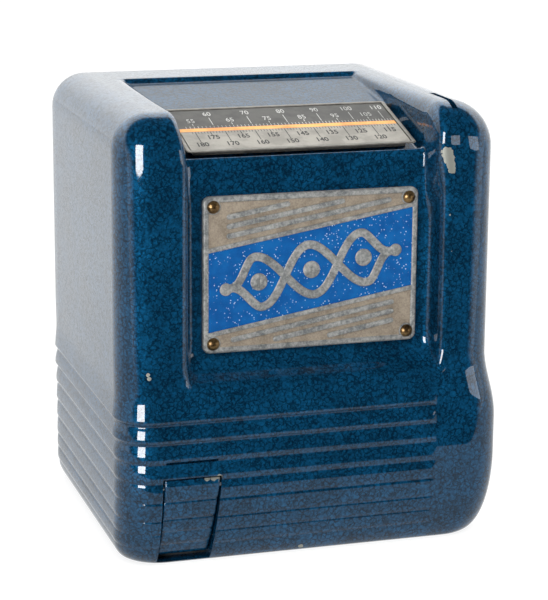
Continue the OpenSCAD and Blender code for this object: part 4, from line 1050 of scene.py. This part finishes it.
lip = [(0.9, UNDER_V), (0.3, 0.85), (0, 0.97), (0, 1.1), (0.12, 1.24), (0.35, LIP_V), (1.2, LIP_V),
       (1.35, 1.22), (1.4, 0.8)]
pan = rounded(DIAL_LEFT + PAN_IN, DIAL_RIGHT - PAN_IN, DIAL_FOOT + PAN_IN, DIAL_HEAD - PAN_IN, PAN_R)
dial_solid = joined([relief(rounded(DIAL_LEFT, DIAL_RIGHT, DIAL_FOOT, DIAL_HEAD, DIAL_R), lip, on_slope),
                     relief(pan, [(0, PAN_V), (0, UNDER_V + 0.05)], on_slope)])
dial = piece("dial_rim", dial_solid, "dial_lid", ["dial_rim", "black_ink_and_painted_shade"], ["dial_frame"])
# Upward faces of the frame's floor below the fields take the black: painted shade in the groove round the
# fields.
for face in dial.data.polygons:
    above = (face.center.z / MM - PIVOT_Z) * math.cos(SLOPE) - (face.center.y / MM - PIVOT_Y) * math.sin(SLOPE)
    face.material_index = int(face.normal.z > FACING_UP and above < FLOOR_V)

# %% Dial fields and stripe
FIELD_LEFT, FIELD_RIGHT, BAND_LOW, BAND_HIGH = DIAL_LEFT + RIM_IN, DIAL_RIGHT - RIM_IN, -17.3, -14.8
for name, low, high, colour, stands_for in (
        ("dial_upper", BAND_HIGH - 0.05, -0.25, "dial_grey", ["dial_scale"]),
        ("dial_lower", DIAL_FOOT + RIM_IN, BAND_LOW + 0.05, "dial_pale", ())):
    outline = rounded(FIELD_LEFT, FIELD_RIGHT, low, high, 0.15, 2)
    solid = relief(outline, [(0, UNDER_V), (0, FACE_V - 0.05), (0.05, FACE_V)], on_slope)
    piece(name, solid, "dial_lid", colour, stands_for)
stripe = relief(rounded(FIELD_LEFT, FIELD_RIGHT, BAND_LOW, BAND_HIGH, 0.1, 2),
                [(0, UNDER_V), (0, FACE_V), (0.06, FACE_V + 0.06)], on_slope)
piece("dial_stripe", stripe, "dial_lid", "dial_orange")

# %% [markdown]
# ## The scale's marks
# The scale has two rows of numbers on each side of the stripe, with a long or a short line to each, and a
# short mark for each step between. A text object gives the shape of a number; its mesh is made narrow, like
# the condensed figures of such dials, and lifted on to the slope.

# %% Mark helpers
FIGURE_SIZE, FIGURE_NARROW, INK, LINE_HALF, STEP_HALF, FIELD_EDGE = 4.2, 0.7, 0.03, 0.13, 0.09, 0.5


def figures(text, x, u, bold):
    letters = bpy.data.curves.new("figures", "FONT")
    letters.body, letters.size, letters.extrude, letters.resolution_u = text, FIGURE_SIZE, INK, 3
    letters.offset = bold
    letters.align_x = letters.align_y = "CENTER"
    sign = bpy.data.objects.new("figures", letters)
    bpy.context.scene.collection.objects.link(sign)
    mesh = bpy.data.meshes.new_from_object(sign.evaluated_get(bpy.context.evaluated_depsgraph_get()))
    solid = ([on_slope(x + v.co.x * FIGURE_NARROW, u + v.co.y, FACE_V + v.co.z) for v in mesh.vertices],
             [tuple(f.vertices) for f in mesh.polygons])
    bpy.data.objects.remove(sign)
    bpy.data.curves.remove(letters)
    return solid


def mark(x, u0, u1, half):
    low, high = sorted((u0, u1))
    outline = [(x - half, low), (x + half, low), (x + half, high), (x - half, high)]
    return relief(outline, [(0, FACE_V - 0.05), (0, FACE_V + INK)], on_slope)


def step_marks(places, u0, u1):
    """Short marks at those places that lie on the field."""
    inside = [x for x in places if FIELD_LEFT + FIELD_EDGE < x < FIELD_RIGHT - FIELD_EDGE]
    return [mark(x, u0, u1, STEP_HALF) for x in inside]


print("mark helpers ready")

# %% Dial marks
def upper_x(n):
    return -34 + 6.98 * n - 0.0775 * n * n


def lower_x(n):
    return -34.7 + 5.155 * n


upper_marks, lower_marks = [], []
for n in range(12):
    figure_u, line_end = (-3.6, -6.5) if n % 2 else (-8.9, -11)
    upper_marks.append(figures(str(55 + 5 * n), upper_x(n), figure_u, 0.02))
    upper_marks.append(mark(upper_x(n), -12.4, line_end, LINE_HALF))
for n in range(14):
    figure_u, line_end = (-22.1, -20.3) if n % 2 else (-27.5, -25.4)
    lower_marks.append(figures(str(180 - 5 * n), lower_x(n), figure_u, 0.1))
    lower_marks.append(mark(lower_x(n), -18.3, line_end, LINE_HALF))
upper_marks += step_marks([upper_x(n / 5 - 0.4) for n in range(60)], BAND_HIGH + 0.2, BAND_HIGH + 1.7)
lower_marks += step_marks([lower_x(n / 5 - 0.2) for n in range(71)], BAND_LOW - 0.2, BAND_LOW - 1.6)
piece("dial_upper_marks", joined(upper_marks), "dial_lid", "white_ink")
piece("dial_lower_marks", joined(lower_marks), "dial_lid", "black_ink_and_painted_shade")

# %% [markdown]
# ## The reels' symbols
# Each reel carries a printed paper strip with ten plain symbols, coloured discs and rings in turn. The angle
# round the shaft gives the symbol's number and the place inside it, so nothing has to be unwrapped.

# %% Reel print
reel_low, reel_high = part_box("reel_strip_centre")
_, REEL_Y, REEL_Z = middle((reel_low, reel_high))
REEL_R, REEL_W, SYMBOLS = (reel_high.y - reel_low.y) / 2 / MM, (reel_high.x - reel_low.x) / MM, 10
SYMBOL_COLOURS = [(0.0, shade(186, 34, 30)), (0.25, shade(228, 160, 30)), (0.5, shade(28, 104, 62)),
                  (0.75, shade(40, 66, 132))]


@finish
def reel_print(paint):
    place = millimetres(paint)
    moved = paint.node("VectorMath", {"operation": "SUBTRACT"}, {0: place, 1: (0, REEL_Y, REEL_Z)})
    _, y, z = moved.axes()
    turn = paint.math("ARCTAN2", z, y) * (SYMBOLS / (2 * math.pi)) + SYMBOLS
    number = paint.math("FLOOR", turn)
    along = (turn - number - 0.5) * (2 * math.pi * REEL_R / SYMBOLS)
    sideways = (paint.node("TexCoord", out="Generated").axes()[0] - 0.5) * REEL_W
    away = paint.math("SQRT", along * along + sideways * sideways)
    disc = 1 - away.rise(4.3, 4.5)
    hole = (1 - away.rise(1.9, 2.1)) * paint.math("MODULO", number, 2.0)
    hue = paint.math("FRACT", number * 0.31)
    ink = paint.node("ValToRGB", {"stops": SYMBOL_COLOURS}, {"Fac": hue})
    paper = noise(paint, place, 0.25, 4.0).rise(0.3, 0.7).tint(shade(214, 208, 190), shade(234, 230, 216))
    return {"Base Color": (disc - hole).tint(paper, ink), "Roughness": 0.45 + noise(paint, place, 0.8) * 0.2}


# %% [markdown]
# ## The works and the back
# The other solids already have the right shape. Those that show from outside get a copy with softened edges,
# since no real edge is perfectly sharp, and the rest only take the finish of their material slot.

# %% Softened copies
body_of = {node: body for body, nodes in frame["record"]["behaviour"]["bodies"].items() for node in nodes}
slot_of = {row["node"]: row["material_slot"] for row in frame["record"]["subparts"]}
SOFTENED = {"rear_door": 0.6, "lever_arm": 0.5, "lever_nut": 0.3, "base_plate": 0.4, "cash_drawer": 0.25,
            "drawer_knob": 0.3, "lock_barrel": 0.25, "lock_plug": 0.15}
FLAT_ANGLE, KEEN_ANGLE = math.radians(1), math.radians(40)


def softened(node, width):
    work = bmesh.new()
    work.from_mesh(frame["nodes"][node].data)
    bmesh.ops.remove_doubles(work, verts=work.verts, dist=2 * WELD)
    bmesh.ops.dissolve_limit(work, angle_limit=FLAT_ANGLE, verts=work.verts, edges=work.edges)
    keen = [e for e in work.edges if len(e.link_faces) == 2 and e.calc_face_angle() > KEEN_ANGLE]
    bmesh.ops.bevel(work, geom=keen, offset=width * MM, segments=2, profile=0.5, affect="EDGES",
                    clamp_overlap=True)
    mesh = bpy.data.meshes.new(node + "_soft")
    work.to_mesh(mesh)
    work.free()
    piece_of_mesh(node + "_soft", mesh, body_of[node], slot_of[node], [node])


for node, width in SOFTENED.items():
    softened(node, width)

# %% Finishes of the solids
dressed = {"casing", "gum_flap", "nameplate", "dial_frame", "dial_scale", *SOFTENED}
plain = [node for node in frame["nodes"] if node not in dressed]
DARKENED = {"dial_pivot_pins": "dark_steel"}
for node in plain:
    solid = frame["nodes"][node]
    solid.data.materials.clear()
    solid.data.materials.append(FINISHES[DARKENED.get(node, slot_of[node])])
print(len(plain), "solids take the finish of their slot")

# %% [markdown]
# ## The floor and the light
# The photograph has a white ground, a dark room in front and white all round behind. A pale floor is enough
# for the ground. The paint is a mirror, so what it reflects matters more than what lights it: the world is
# white at the sides and behind and dark in front and overhead, and a white card lies around the foot, greyer
# towards its front edge. The floor is left out of reflections, and only reflections show the card.

# %% Floor and card
@finish
def pale_floor(paint):
    cloud = noise(paint, millimetres(paint), 0.004)
    return {"Base Color": cloud.tint(shade(120, 120, 120), shade(124, 124, 124)),
            "Roughness": 0.9 + cloud * 0.05,
            "Emission Color": cloud.tint(shade(248, 248, 248), shade(252, 252, 252)), "Emission Strength": 0.85}


@finish
def white_card(paint):
    place = millimetres(paint)
    _, back, _ = place.axes()
    return {"Base Color": noise(paint, place, 0.01).tint(shade(4, 4, 4), shade(6, 6, 6)), "Roughness": 0.9,
            "Emission Color": back.rise(-160, 420).tint((0.76, 0.76, 0.75, 1), (1.14, 1.14, 1.12, 1)),
            "Emission Strength": 1.0}


def sheet(name, x, y0, y1, z, material):
    mesh = bpy.data.meshes.new(name)
    mesh.from_pydata([(-x, y0, z), (x, y0, z), (x, y1, z), (-x, y1, z)], [], [(0, 1, 2, 3)])
    mesh.materials.append(FINISHES[material])
    made = bpy.data.objects.new(name, mesh)
    bpy.context.scene.collection.objects.link(made)
    return made


FLOOR_HALF = 60
floor = sheet("floor", FLOOR_HALF, -FLOOR_HALF, FLOOR_HALF, 0, "pale_floor")
floor.visible_glossy = False
card = sheet("card", 3, -0.16, 4, 0.0004, "white_card")
card.visible_camera = card.visible_diffuse = card.visible_shadow = False
print("floor and card laid")

# %% World
world = bpy.data.worlds.new("studio")
world.use_nodes = True
world.node_tree.nodes.clear()
room = Wire(world.node_tree)
side, back, up = room.node("TexCoord", out="Generated").axes()
white = up.rise(0.1, 0.6).tint((1.45, 1.45, 1.43, 1), (2.8, 2.8, 2.76, 1))
sky = (back + side * 0.1 - up * 0.9).rise(-0.48, -0.16).tint((0.015, 0.015, 0.018, 1), white)
room.node("OutputWorld", None, {"Surface": room.node("Background", None, {"Color": sky, "Strength": 1.0})})
bpy.context.scene.world = world
print("world set")

# %% [markdown]
# ## Lamps
# A lamp in a studio does two jobs: it lights the surfaces, and it shows as a bright patch in glossy ones. The
# two are set apart here, because the patches have to sit where the photograph shows them: the lamps called
# glint only show in reflections, and the others only light. Each is a rectangle, given by the two angles
# under which the part sees it.

# %% Lamps
AIM = Vector((0, 0, 0.08))


def softbox(name, turn, rise, away, wide, tall, watts, glint):
    """A lamp at an angle from the back, a height angle and a distance, seen under two angles in degrees."""
    turn, rise = math.radians(turn), math.radians(rise)
    lamp = bpy.data.lights.new(name, "AREA")
    lamp.shape, lamp.energy = "RECTANGLE", watts
    lamp.size, lamp.size_y = (2 * away * math.tan(math.radians(v / 2)) for v in (wide, tall))
    held = bpy.data.objects.new(name, lamp)
    toward = Vector((math.sin(turn) * math.cos(rise), math.cos(turn) * math.cos(rise), math.sin(rise)))
    held.location = AIM + toward * away
    held.rotation_euler = (-toward).to_track_quat("-Z", "Y").to_euler()
    held.visible_glossy, held.visible_diffuse, held.visible_camera = glint, not glint, False
    bpy.context.scene.collection.objects.link(held)
    print(name, "is", round(lamp.size, 2), "by", round(lamp.size_y, 2), "m")


softbox("key_glint", -138, 4.5, 3.0, 22, 27.5, 120, True)
softbox("right_glint", 133, -1, 3.0, 30, 13, 12, True)
softbox("key", -144, 15, 1.3, 22, 26, 6, False)
softbox("fill", 175, 52, 1.9, 40, 30, 24, False)
softbox("overhead", 180, 75, 1.6, 53, 53, 8, False)
bpy.context.scene.view_settings.view_transform = "Standard"
